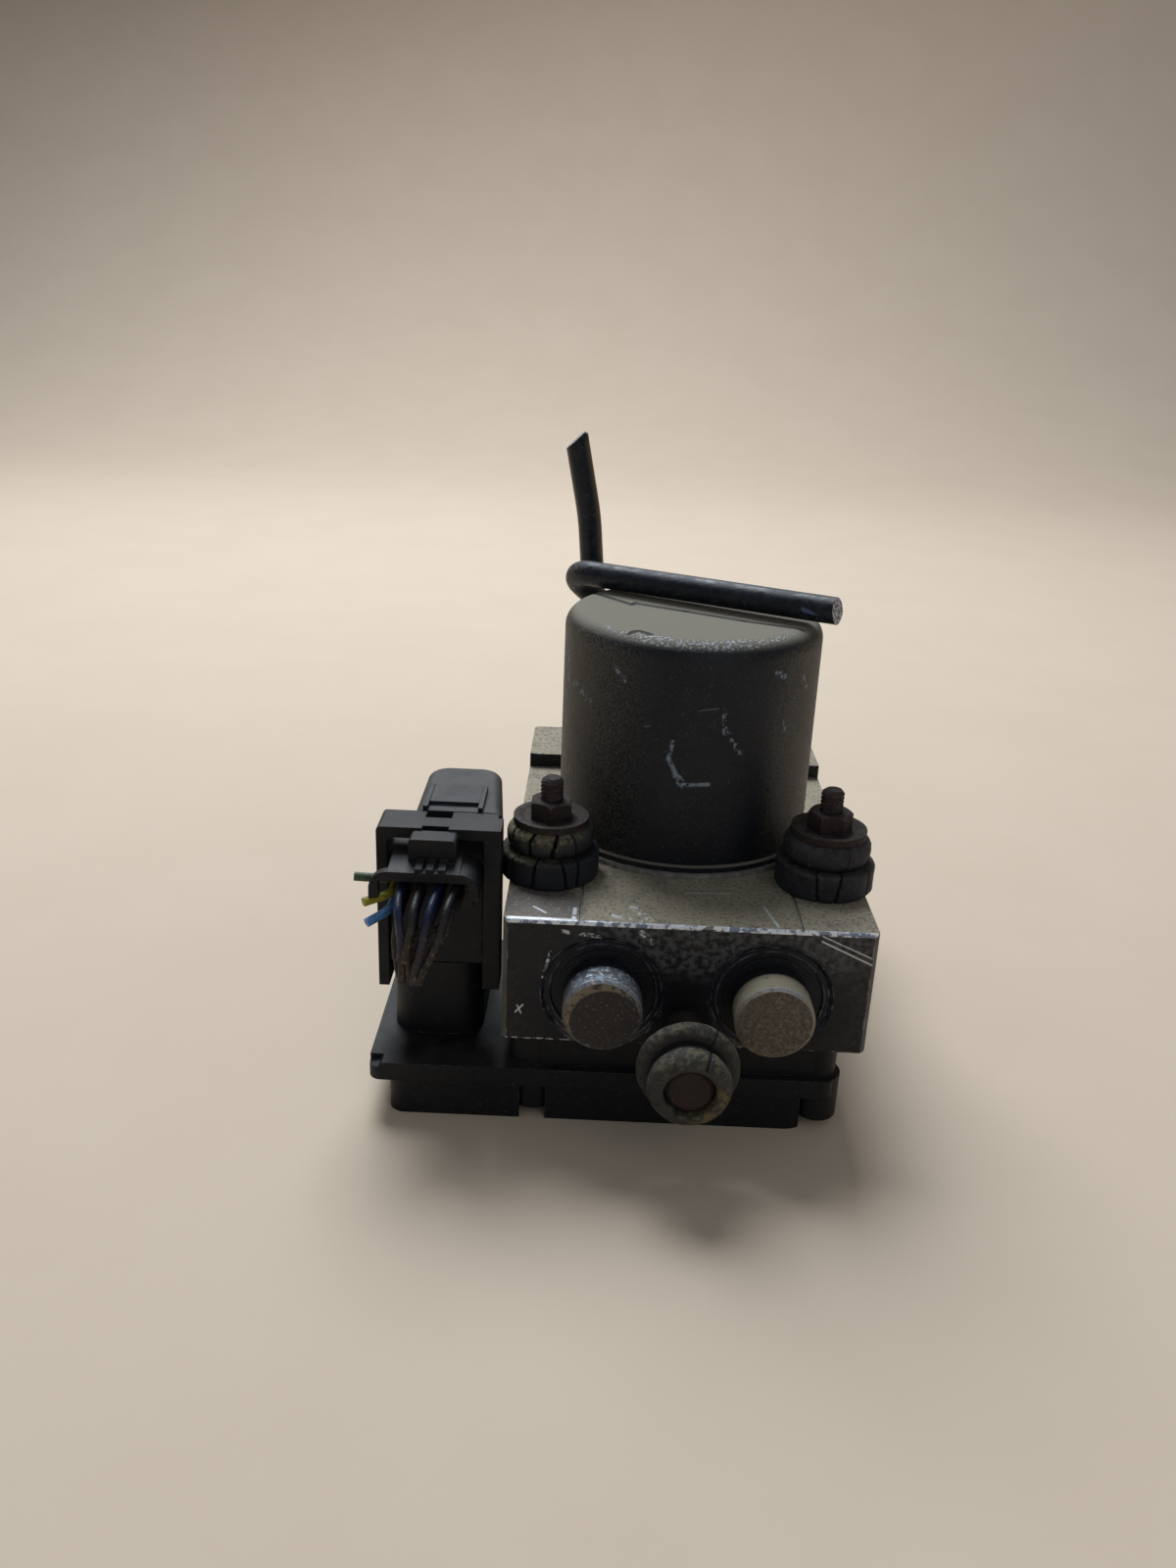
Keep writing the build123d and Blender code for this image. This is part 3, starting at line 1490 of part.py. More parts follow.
with BuildPart() as plug_lever:
    with BuildSketch(Plane.XY.offset(lever_handle_bottom)) as handle_outline:
        with BuildLine():
            Polyline(
                (lever_left, lever_handle_front), (lever_right + lever_flare, lever_handle_front),
                (lever_right, lever_handle_rear), (lever_left, lever_handle_rear),
                close=True,
            )
        make_face()
        fillet(handle_outline.vertices().group_by(Axis.Y)[-1], lever_corner)
    extrude(amount=lever_handle_thickness)
    crown = plug_lever.faces().sort_by(Axis.Z)[-1].edges().sort_by(Axis.Y)[1:]
    fillet(crown, lever_crown)
    for outer, inner in (
        (lever_left, lever_left + lever_arm_thickness),
        (lever_right, lever_right - lever_arm_thickness),
    ):
        with BuildSketch(Plane.YZ.offset(min(outer, inner))):
            with Locations((lever_pivot_y, lever_pivot_z)):
                Circle(lever_arm_width / 2)
            with Locations((lever_pivot_y, (lever_pivot_z + plug_top) / 2 - 1)):
                Rectangle(lever_arm_width, plug_top - lever_pivot_z - 2)
            with Locations((lever_pivot_y, lever_pivot_z)):
                Circle(lever_pin_radius + running_fit, mode=Mode.SUBTRACT)
        extrude(amount=lever_arm_thickness)
    # latch shelf between two ribs, set back from the front edge
    block_of(
        tongue_left, tongue_left + tongue_width, lever_handle_front + tongue_setback,
        lever_handle_front + lever_rib_length, plug_top - tongue_thickness,
        plug_top + tongue_thickness,
    )
    for rib_x in (tongue_left - 0.6, tongue_left + tongue_width + 0.6):
        block_of(
            rib_x - 0.6, rib_x + 0.6, lever_handle_front, lever_handle_front + lever_rib_length,
            plug_top, plug_top + lever_rib_height,
        )

save(plug_lever.part, "plug_lever")

seal_front = core_front - seal_thickness

with BuildPart() as wire_seal:
    block_of(
        seal_left, hood_right - hood_roof - seated_fit, seal_front, core_front,
        seal_top - seal_height, seal_top,
    )

save(wire_seal.part, "wire_seal")

# ---------------------------------------------------------------- cut wires

def wire(route):
    """A cut wire, with the arc at each corner as large as its runs allow."""
    runs = [Vector(*b) - Vector(*a) for a, b in zip(route, route[1:])]
    radii = []
    for before, after in zip(runs, runs[1:]):
        half_turn = radians(before.get_angle(after) / 2)
        radii.append(0.45 * min(before.length, after.length) / tan(half_turn))
    print("wire arc radii", [round(radius, 1) for radius in radii])
    return bent_tube(route, radii, wire_radius).solid()


# the bundle comes out under the hood in rows, turns down in front and draws together
bundle = []
for row in range(wire_rows):
    for column in range(wire_columns):
        across = column - (wire_columns - 1) / 2
        start_x = bundle_x + across * wire_column_pitch
        start_z = seal_top - 1.6 - row * wire_row_pitch
        turn_y = seal_front - wire_first_reach - (wire_rows - 1 - row) * wire_end_pitch
        end_x = bundle_x + wire_lean + across * wire_end_pitch
        end_z = start_z - wire_first_drop + (wire_rows - 1 - row) * wire_drop_step
        bundle.append(
            wire(
                [
                    (start_x, seal_front, start_z),
                    (start_x, turn_y, start_z),
                    (end_x, turn_y - 0.4, end_z + (column % 2) * wire_drop_step),
                ]
            )
        )
save(Compound(bundle), "wire_bundle")

# three single wires leave to the left
wire_green = wire([(stub_x, seal_front, 62.4), (stub_x, -55.4, 62.4), (-81.6, -56.2, 63.1)])
save(wire_green, "wire_green")
wire_yellow = wire([(stub_x, seal_front, 59.0), (stub_x, -56.4, 59.0), (-78.6, -60.8, 58.6)])
save(wire_yellow, "wire_yellow")
wire_blue = wire([(stub_x, seal_front, 55.9), (stub_x, -59.0, 55.9), (-77.6, -63.0, 54.2)])
save(wire_blue, "wire_blue")
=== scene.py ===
"""Looks of the anti-lock brake module: materials, wear, dirt and the few forms left to Blender."""

import json
import math
import random

import bmesh
import bpy
from mathutils import Matrix, Vector, noise


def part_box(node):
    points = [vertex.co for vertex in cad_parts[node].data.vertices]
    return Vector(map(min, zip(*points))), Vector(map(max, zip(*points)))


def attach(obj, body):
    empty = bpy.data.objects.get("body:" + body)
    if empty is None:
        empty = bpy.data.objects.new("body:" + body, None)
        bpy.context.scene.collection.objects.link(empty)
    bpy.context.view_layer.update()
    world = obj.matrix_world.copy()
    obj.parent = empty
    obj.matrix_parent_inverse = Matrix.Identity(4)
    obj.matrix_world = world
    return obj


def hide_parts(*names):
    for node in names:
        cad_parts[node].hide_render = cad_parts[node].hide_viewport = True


MM = 0.001
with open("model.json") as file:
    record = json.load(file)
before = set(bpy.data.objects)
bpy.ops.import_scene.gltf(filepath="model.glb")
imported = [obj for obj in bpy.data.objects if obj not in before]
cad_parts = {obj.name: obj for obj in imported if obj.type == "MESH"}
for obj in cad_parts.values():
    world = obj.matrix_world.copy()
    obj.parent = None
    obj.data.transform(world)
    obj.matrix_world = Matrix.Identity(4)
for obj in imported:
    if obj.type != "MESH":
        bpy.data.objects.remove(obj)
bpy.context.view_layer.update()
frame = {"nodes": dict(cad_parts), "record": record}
nodes = frame["nodes"]

# ---------------------------------------------------------------- material kit


class Finish:
    """One procedural material, built in layers around a Principled shader."""

    def __init__(self, name, colour, roughness, metallic=0.0, soft_edge=0.25):
        self.material = bpy.data.materials.new(name)
        self.material.use_nodes = True
        self.tree = self.material.node_tree
        self.shader = self.tree.nodes["Principled BSDF"]
        self.shader.inputs["Metallic"].default_value = metallic
        self.shader.inputs["Roughness"].default_value = roughness
        self.shader.inputs["Specular IOR Level"].default_value = 0.3
        self.place = self.node("ShaderNodeTexCoord").outputs["Object"]
        self.geometry = self.node("ShaderNodeNewGeometry")
        self.colour = self.rgb(colour)
        self.roughness = None
        self.metallic = None
        self.bump_height = None
        self.soft_edge = soft_edge

    def node(self, kind, **settings):
        made = self.tree.nodes.new(kind)
        for key, value in settings.items():
            setattr(made, key, value)
        return made

    def link(self, source, target):
        self.tree.links.new(source, target)

    def rgb(self, colour):
        made = self.node("ShaderNodeRGB")
        made.outputs[0].default_value = (*colour, 1.0)
        return made.outputs[0]

    def math(self, operation, first, second):
        made = self.node("ShaderNodeMath", operation=operation)
        for socket, value in zip(made.inputs, (first, second)):
            if isinstance(value, (int, float)):
                socket.default_value = value
            else:
                self.link(value, socket)
        return made.outputs[0]

    def ramp(self, value, low, high):
        """0 below low, 1 above high, smooth between; reversed where low is above high."""
        made = self.node("ShaderNodeMapRange", interpolation_type="SMOOTHSTEP")
        made.inputs["From Min"].default_value = min(low, high)
        made.inputs["From Max"].default_value = max(low, high)
        made.inputs["To Min"].default_value = 0.0 if low < high else 1.0
        made.inputs["To Max"].default_value = 1.0 if low < high else 0.0
        self.link(value, made.inputs["Value"])
        return made.outputs["Result"]

    def cloud(self, size_mm, low=0.42, high=0.6, detail=5.0, stretch=(1, 1, 1), seed=0.0):
        """A mask of soft irregular patches, about size_mm across."""
        mapping = self.node("ShaderNodeMapping")
        mapping.inputs["Scale"].default_value = stretch
        mapping.inputs["Location"].default_value = (seed, seed * 0.7, -seed)
        self.link(self.place, mapping.inputs["Vector"])
        made = self.node("ShaderNodeTexNoise")
        made.inputs["Scale"].default_value = 1 / (size_mm * MM)
        made.inputs["Detail"].default_value = detail
        made.inputs["Roughness"].default_value = 0.62
        self.link(mapping.outputs[0], made.inputs["Vector"])
        return self.ramp(made.outputs["Fac"], low, high)

    def facing(self, axis, low=0.35, high=0.9):
        """A mask of the faces that look along axis."""
        made = self.node("ShaderNodeVectorMath", operation="DOT_PRODUCT")
        self.link(self.geometry.outputs["Normal"], made.inputs[0])
        made.inputs[1].default_value = axis
        return self.ramp(made.outputs["Value"], low, high)

    def near(self, centre_mm, radius_mm, soft_mm=1.0, squeeze=(1, 1, 1)):
        """A round mask about a place on the object."""
        mapping = self.node("ShaderNodeMapping", vector_type="POINT")
        mapping.inputs["Scale"].default_value = squeeze
        mapping.inputs["Location"].default_value = [
            -c * MM * s for c, s in zip(centre_mm, squeeze)
        ]
        self.link(self.place, mapping.inputs["Vector"])
        length = self.node("ShaderNodeVectorMath", operation="LENGTH")
        self.link(mapping.outputs[0], length.inputs[0])
        return self.ramp(length.outputs["Value"], (radius_mm + soft_mm) * MM, radius_mm * MM)

    def stroke(self, start_mm, end_mm, width_mm, chipped=0.35):
        """A mask along a straight scratch, broken up where chipped is above 0."""
        start, end = Vector(start_mm) * MM, Vector(end_mm) * MM
        along = end - start
        away = self.node("ShaderNodeVectorMath", operation="SUBTRACT")
        self.link(self.place, away.inputs[0])
        away.inputs[1].default_value = start
        share = self.node("ShaderNodeVectorMath", operation="DOT_PRODUCT")
        self.link(away.outputs[0], share.inputs[0])
        share.inputs[1].default_value = along / along.length_squared
        share = self.math("MAXIMUM", self.math("MINIMUM", share.outputs["Value"], 1.0), 0.0)
        foot = self.node("ShaderNodeVectorMath", operation="SCALE")
        foot.inputs[0].default_value = along
        self.link(share, foot.inputs["Scale"])
        gap = self.node("ShaderNodeVectorMath", operation="DISTANCE")
        self.link(away.outputs[0], gap.inputs[0])
        self.link(foot.outputs[0], gap.inputs[1])
        line = self.ramp(gap.outputs["Value"], width_mm * MM, width_mm * 0.4 * MM)
        if chipped:
            chips = self.cloud(1.4, chipped, chipped + 0.12, seed=along.length * 90)
            line = self.times(line, chips)
        return line

    def edges(self, width_mm=0.5, low=0.02, high=0.12):
        """A mask of the corners and edges."""
        bevel = self.node("ShaderNodeBevel", samples=4)
        bevel.inputs["Radius"].default_value = width_mm * MM
        made = self.node("ShaderNodeVectorMath", operation="DOT_PRODUCT")
        self.link(bevel.outputs[0], made.inputs[0])
        self.link(self.geometry.outputs["Normal"], made.inputs[1])
        return self.ramp(self.math("SUBTRACT", 1.0, made.outputs["Value"]), low, high)

    def times(self, *masks):
        result = masks[0]
        for mask in masks[1:]:
            result = self.math("MULTIPLY", result, mask)
        return result

    def paint(self, colour, mask, strength=1.0, roughness=None, metallic=None):
        """Lays a colour over what is there, where the mask is."""
        if strength != 1.0:
            mask = self.math("MULTIPLY", mask, strength)
        mix = self.node("ShaderNodeMix", data_type="RGBA")
        self.link(mask, mix.inputs["Factor"])
        self.link(self.colour, mix.inputs[6])
        mix.inputs[7].default_value = (*colour, 1.0)
        self.colour = mix.outputs[2]
        for name, value in (("roughness", roughness), ("metallic", metallic)):
            if value is None:
                continue
            socket = self.shader.inputs[name.capitalize()]
            before = getattr(self, name)
            blend = self.node("ShaderNodeMix", data_type="FLOAT")
            self.link(mask, blend.inputs["Factor"])
            if before is None:
                blend.inputs[2].default_value = socket.default_value
            else:
                self.link(before, blend.inputs[2])
            blend.inputs[3].default_value = value
            setattr(self, name, blend.outputs[0])
        return self

    def raise_by(self, mask, height_mm):
        """Adds relief of the mask's shape; a negative height sinks it."""
        step = self.math("MULTIPLY", mask, height_mm * MM)
        before = self.bump_height
        self.bump_height = step if before is None else self.math("ADD", before, step)
        return self

    def done(self):
        self.link(self.colour, self.shader.inputs["Base Color"])
        if self.roughness is not None:
            self.link(self.roughness, self.shader.inputs["Roughness"])
        if self.metallic is not None:
            self.link(self.metallic, self.shader.inputs["Metallic"])
        normal = None
        if self.soft_edge:
            bevel = self.node("ShaderNodeBevel", samples=4)
            bevel.inputs["Radius"].default_value = self.soft_edge * MM
            normal = bevel.outputs[0]
        if self.bump_height is not None:
            bump = self.node("ShaderNodeBump")
            bump.inputs["Distance"].default_value = 1.0
            self.link(self.bump_height, bump.inputs["Height"])
            if normal is not None:
                self.link(normal, bump.inputs["Normal"])
            normal = bump.outputs[0]
        if normal is not None:
            self.link(normal, self.shader.inputs["Normal"])
        return self.material


GREY_DUST = (0.15, 0.145, 0.14)
RUST = (0.055, 0.030, 0.018)
DARK_RUST = (0.028, 0.018, 0.016)
BRIGHT = (0.80, 0.82, 0.85)
UP = (0, 0, 1)
FRONT = (0, -1, 0)
CUP_X, CUP_Z = 20.4, 37.75
BLOCK_FRONT, BLOCK_TOP, CAN_TOP = -63.0, 57.0, 118.5


def dusted(finish, colour, amount, grain_mm=2.5):
    """Settled dust: thick on what looks up, thin and patchy elsewhere."""
    settled = finish.times(finish.facing(UP), finish.cloud(grain_mm * 4, 0.3, 0.62, seed=3))
    finish.paint(colour, settled, amount, roughness=0.9, metallic=0.0)
    film = finish.cloud(grain_mm, 0.5, 0.75, seed=7)
    finish.paint(colour, film, amount * 0.3, roughness=0.8)


def block_finish():
    f = Finish("raw_aluminium", (0.17, 0.16, 0.15), 0.5, metallic=0.6)
    f.paint((0.11, 0.105, 0.10), f.cloud(9, 0.4, 0.65), 0.8, roughness=0.6)
    f.paint((0.30, 0.28, 0.25), f.cloud(3, 0.5, 0.7, seed=1), 0.5)
    # painted shade: the front face, turned from the light, is painted near black; browner towards
    # the right
    front = f.facing(FRONT, 0.5, 0.95)
    f.paint((0.010, 0.011, 0.014), front, 0.97, 0.5, 0.15)
    browner = f.times(front, f.near((36, BLOCK_FRONT, 38), 12, 22),
                      f.cloud(1.6, 0.4, 0.62, seed=5))
    f.paint((0.06, 0.048, 0.036), browner, 0.7, 0.7, 0.1)
    film = f.times(front, f.cloud(2.2, 0.5, 0.68, seed=12))
    f.paint((0.045, 0.042, 0.04), film, 0.5, 0.7, 0.1)
    f.paint((0.11, 0.055, 0.02), f.times(front, f.near((-2, BLOCK_FRONT, 43), 7, 7),
                                         f.cloud(1.3, 0.52, 0.64, seed=9)), 0.7, 0.8, 0.1)
    # painted shade between the cups and above the grommet
    shade_round_cups = f.near((2, BLOCK_FRONT, 33), 26, 12, (0.8, 1, 1.6))
    f.paint((0.005, 0.006, 0.009), f.times(front, shade_round_cups), 0.9, 0.4, 0.1)
    above_cups = f.times(front, f.near((12, BLOCK_FRONT, 54), 14, 8, (0.5, 1, 1.6)),
                         f.cloud(1.8, 0.42, 0.58, seed=18))
    f.paint((0.12, 0.125, 0.13), above_cups, 0.55, 0.6, 0.3)
    # painted shade: the recesses round the cups are painted black, with fine turned lines
    for x in (-CUP_X, CUP_X):
        recess_shade = f.near((x, BLOCK_FRONT, CUP_Z), 15.3, 0.8, (1, 0.5, 1))
        f.paint((0.006, 0.008, 0.014), recess_shade, 0.96, 0.35, 0.2)
        for radius in (15.0, 13.4, 12.2):
            turned_line = f.times(
                f.near((x, BLOCK_FRONT, CUP_Z), radius, 0.12, (1, 0.5, 1)),
                f.math("SUBTRACT", 1.0,
                       f.near((x, BLOCK_FRONT, CUP_Z), radius - 0.5, 0.12, (1, 0.5, 1))),
                f.cloud(6, 0.42, 0.6, seed=radius),
            )
            f.paint((0.10, 0.12, 0.17), turned_line, 0.5, 0.35, 0.6)
    # dull tan dirt on the top, darker on the left pad
    top = f.facing(UP)
    f.paint((0.33, 0.285, 0.205), top, 0.85, roughness=0.7, metallic=0.1)
    f.paint((0.11, 0.10, 0.095), f.times(top, f.near((-36, -55, BLOCK_TOP), 9, 3)), 0.8, 0.6, 0.4)
    f.paint((0.09, 0.085, 0.08), f.times(top, f.cloud(1.0, 0.5, 0.62, seed=2)), 0.75)
    f.paint((0.10, 0.095, 0.09), f.times(top, f.cloud(7, 0.5, 0.72, seed=4)), 0.5)
    f.paint((0.42, 0.40, 0.34), f.times(top, f.cloud(0.8, 0.58, 0.68, seed=14)), 0.7, 0.8, 0.1)
    # knocks and scratches, brightest along the front edge
    edge_line = f.near((0, BLOCK_FRONT, BLOCK_TOP), 0.75, 0.3, (0, 1, 1))
    f.paint((0.20, 0.25, 0.36), f.times(edge_line, f.cloud(9, 0.36, 0.5, seed=16)), 0.8, 0.3, 0.8)
    f.paint(BRIGHT, f.times(edge_line, f.cloud(2.0, 0.46, 0.54, seed=17)), 0.95, 0.3, 0.6)
    bright = f.times(f.edges(0.6), f.cloud(3, 0.5, 0.6, seed=6))
    f.paint((0.45, 0.45, 0.45), bright, 0.8, roughness=0.35, metallic=0.9)
    pad_edge = f.stroke((-43.6, -62.0, BLOCK_TOP), (-28.0, -62.2, BLOCK_TOP), 0.9, 0.3)
    f.paint(BRIGHT, pad_edge, 0.95, 0.35, 0.5)
    for start, end, width, chipped in (
        ((-28.2, -62.0, BLOCK_TOP), (-28.0, -56.0, BLOCK_TOP), 0.7, 0.38),
        ((-38.0, -56.0, BLOCK_TOP), (-35.0, -59.0, BLOCK_TOP), 0.5, 0.3),
        ((-0.5, -44.9, BLOCK_TOP), (10.6, -44.4, BLOCK_TOP), 0.35, 0.36),
        ((18.5, -51.1, BLOCK_TOP), (20.9, -61.1, BLOCK_TOP), 0.5, 0.34),
        ((-13.9, -54.3, BLOCK_TOP), (-9.7, -60.5, BLOCK_TOP), 1.4, 0.46),
        ((-20.0, -58.5, BLOCK_TOP), (-12.0, -61.5, BLOCK_TOP), 0.9, 0.46),
        ((31.3, BLOCK_FRONT, 56.0), (43.8, BLOCK_FRONT, 50.5), 0.22, 0.3),
        ((31.3, BLOCK_FRONT, 54.6), (43.8, BLOCK_FRONT, 48.8), 0.30, 0.3),
        ((-33.0, BLOCK_FRONT, 54.5), (-20.5, BLOCK_FRONT, 53.2), 0.7, 0.5),
        ((-12.0, BLOCK_FRONT, 55.0), (-9.0, BLOCK_FRONT, 52.4), 0.9, 0.46),
        ((-33.5, BLOCK_FRONT, 48.5), (-35.2, BLOCK_FRONT, 41.0), 0.5, 0.47),
        ((-41.6, BLOCK_FRONT, 31.5), (-39.8, BLOCK_FRONT, 33.6), 0.3, 0.2),
        ((-41.2, BLOCK_FRONT, 33.4), (-40.2, BLOCK_FRONT, 31.2), 0.25, 0.2),
        ((-45.0, BLOCK_FRONT, 24.2), (-24.0, BLOCK_FRONT, 24.2), 0.3, 0.46),
        ((-45.0, BLOCK_FRONT, 54.0), (-45.0, BLOCK_FRONT, 24.0), 0.25, 0.5),
    ):
        f.paint((0.62, 0.64, 0.66), f.stroke(start, end, width, chipped), 0.85, 0.35, 0.5)
    f.raise_by(f.cloud(0.7, 0.3, 0.7), 0.035).raise_by(f.cloud(3, 0.4, 0.7), -0.06)
    return f.done()


def cap_finish():
    f = Finish("cap_aluminium", (0.33, 0.29, 0.215), 0.6, metallic=0.3)
    left = f.near((-CUP_X, -70, CUP_Z), 13, 1)
    face = f.facing(FRONT, 0.6, 0.9)
    # left cup: blue-grey side, face painted dark as shade where it turns from the light, speckled,
    # with a tan crescent above
    f.paint((0.10, 0.115, 0.14), left, 0.85, roughness=0.5, metallic=0.4)
    f.paint((0.028, 0.022, 0.020), f.times(left, face), 0.95, roughness=0.6, metallic=0.1)
    crescent = f.times(
        left, face,
        f.math("SUBTRACT", 1.0, f.near((-CUP_X + 0.8, -73.5, CUP_Z - 1.6), 8.3, 0.5, (1, 0, 1))),
        f.cloud(2.2, 0.4, 0.5, seed=3),
    )
    f.paint((0.24, 0.20, 0.14), crescent, 0.85, roughness=0.8)
    # right cup: tan side, grey-brown face painted darker as shade where it turns from the light
    right = f.near((CUP_X, -70, CUP_Z), 13, 1)
    f.paint((0.09, 0.075, 0.058), f.times(right, face), 0.9, roughness=0.75)
    f.paint((0.22, 0.195, 0.15), f.times(right, face, f.cloud(0.9, 0.46, 0.6, seed=21)), 0.6)
    f.paint((0.06, 0.05, 0.042), f.times(right, face, f.cloud(0.8, 0.52, 0.62, seed=22)), 0.7)
    f.paint((0.20, 0.17, 0.14), f.times(left, face, f.cloud(0.7, 0.56, 0.66, seed=23)), 0.7)
    f.paint((0.05, 0.045, 0.04), f.cloud(1.6, 0.58, 0.7, seed=4), 0.7)
    # bright chips on the upper rims
    above = f.times(f.facing(UP, 0.45, 0.9), f.cloud(2, 0.4, 0.5, seed=46))
    chips = f.times(left, above, f.cloud(1.5, 0.45, 0.55, seed=6))
    f.paint((0.34, 0.42, 0.56), chips, 0.6, roughness=0.35, metallic=0.4)
    f.paint(BRIGHT, f.times(left, above, f.cloud(1.2, 0.54, 0.6, seed=26)), 0.9, 0.3, 0.4)
    rim = f.times(f.edges(1.3, 0.01, 0.06), f.cloud(2.4, 0.4, 0.52, seed=8))
    f.paint((0.42, 0.46, 0.55), f.times(rim, f.facing(UP, -0.1, 0.5)), 0.85, 0.35, 0.5)
    f.paint((0.30, 0.26, 0.19), f.times(rim, f.cloud(2.0, 0.5, 0.6, seed=9)), 0.8)
    # painted shade: the seat round the foot of each cup is painted black
    foot = f.near((0, BLOCK_FRONT, 0), 3.2, 0.7, (0, 1, 0))
    f.paint((0.006, 0.008, 0.014), foot, 0.97, roughness=0.35, metallic=0.1)
    f.raise_by(f.cloud(1.2, 0.35, 0.7), 0.10).raise_by(f.cloud(0.5, 0.4, 0.7, seed=31), 0.05)
    return f.done()


def can_finish():
    f = Finish("black_can", (0.0040, 0.0055, 0.010), 0.36)
    f.paint((0.009, 0.012, 0.018), f.cloud(12, 0.4, 0.7), 0.7, roughness=0.45)
    # fine tan dust solid on the top and on both flanks, and specks everywhere; the brighter right
    # flank is also a painted lit side, and the rear is painted lighter tan
    f.paint((0.22, 0.20, 0.16), f.facing(UP, 0.45, 0.95), 0.88, roughness=0.95)
    grain = f.cloud(0.55, 0.40, 0.62, detail=3, seed=2)
    for axis, low, amount in (((-0.97, -0.24, 0), 0.45, 0.62), ((0.97, -0.24, 0), 0.66, 0.85)):
        flank = f.times(f.facing(axis, low, 1.0), grain)
        f.paint((0.17, 0.15, 0.11), flank, amount, roughness=0.95)
    rear = f.times(f.facing((0, 1, 0), 0.1, 0.8), grain)
    f.paint((0.24, 0.215, 0.165), rear, 0.8, roughness=0.95)
    f.paint((0.12, 0.12, 0.11), f.cloud(0.6, 0.58, 0.70, seed=5), 0.4, roughness=0.9)
    # painted highlight: bright bluish specks along the front rim of the can's top
    shoulder_highlight = f.times(f.facing((0, -0.5, 0.85), 0.86, 0.97), f.cloud(0.8, 0.52, 0.6, seed=25))
    f.paint((0.42, 0.48, 0.56), shoulder_highlight, 0.85, roughness=0.6)
    # pale scuffs
    for start, end, width, chipped in (
        ((-32.8, -9.8, 108), (-32.5, -10.2, 101), 1.1, 0.45),
        ((-31.0, -14.6, 101.5), (-27.0, -21.0, 99.0), 1.6, 0.5),
        ((-20.5, -27.4, 109.5), (-18.4, -28.9, 107.0), 0.9, 0.42),
        ((6.6, -33.6, 101.5), (7.2, -33.5, 96), 0.9, 0.48),
        ((7.4, -33.4, 96), (11.5, -32.2, 90.5), 1.1, 0.5),
        ((19.4, -28.2, 110.4), (21.5, -26.6, 109.0), 1.0, 0.44),
        ((27.2, -20.8, 107.6), (28.4, -19.1, 104.5), 0.9, 0.46),
        ((22.8, -25.6, 97), (23.2, -25.2, 94.5), 0.8, 0.46),
        ((-5.6, -33.8, 93), (-6.4, -33.6, 88.5), 0.7, 0.40),
        ((-6.4, -33.6, 88.5), (-4.4, -34.0, 84.5), 0.8, 0.36),
        ((-4.4, -34.0, 84.5), (-2.6, -34.1, 81.8), 1.3, 0.44),
        ((-2.6, -34.1, 81.8), (4.2, -34.0, 82.2), 0.7, 0.38),
    ):
        f.paint((0.20, 0.25, 0.32), f.stroke(start, end, width, chipped), 0.85, roughness=0.6)
    for start, end in (
        ((-20.8, -27.2, 95.8), (-12.0, -32.1, 96.2)),
        ((-12.0, -32.1, 96.2), (1.3, -34.3, 101.8)),
        ((1.3, -34.3, 101.8), (5.0, -33.9, 102.2)),
    ):
        f.paint((0.15, 0.17, 0.19), f.stroke(start, end, 0.16, 0), 0.8)
    # slot pressed into the top, and the long pipe's shadow painted dark beside it and sunk a
    # little
    slot = f.math("MAXIMUM", f.stroke((-18.6, -26.8, CAN_TOP), (-15.2, -24.4, CAN_TOP), 1.1, 0),
                  f.stroke((-15.2, -24.4, CAN_TOP), (-12.6, -27.0, CAN_TOP), 1.1, 0))
    f.paint((0.006, 0.006, 0.007), slot, 1.0, roughness=0.7)
    f.raise_by(slot, -0.5)
    # painted shadow of the long pipe on the top, also sunk a little by bump
    for start, end, width in (
        ((-28.0, 16.0, CAN_TOP), (-16.6, 2.8, CAN_TOP), 1.3),
        ((-15.6, 5.6, CAN_TOP), (-16.6, 2.8, CAN_TOP), 0.6),
        ((-15.6, 4.4, CAN_TOP), (-2.4, -2.3, CAN_TOP), 1.4),
        ((-2.4, -2.3, CAN_TOP), (12.4, -10.1, CAN_TOP), 1.2),
        ((12.4, -10.1, CAN_TOP), (28.2, -16.4, CAN_TOP), 1.0),
    ):
        pipe_shadow_dent = f.stroke(start, end, width, 0)
        f.paint((0.006, 0.007, 0.009), pipe_shadow_dent, 0.97, roughness=0.7)
        f.raise_by(pipe_shadow_dent, -0.4)
    f.raise_by(f.cloud(0.55, 0.3, 0.7, seed=6), 0.05).raise_by(f.cloud(5, 0.3, 0.7, seed=8), 0.07)
    return f.done()


def plastic_finish(name, colour, roughness, dust):
    f = Finish(name, colour, roughness, soft_edge=0.4)
    f.paint(tuple(c * 1.7 for c in colour), f.cloud(8, 0.4, 0.7), 0.6, roughness=roughness + 0.15)
    dusted(f, GREY_DUST, dust)
    scuffed = f.times(f.edges(0.45), f.cloud(3, 0.5, 0.6, seed=4))
    f.paint((0.09, 0.10, 0.115), scuffed, 0.6)
    f.paint((0.14, 0.12, 0.095), f.cloud(1.1, 0.64, 0.72, seed=14), 0.5, roughness=0.9)
    f.raise_by(f.cloud(0.35, 0.3, 0.7, seed=6), 0.02)
    return f.done()


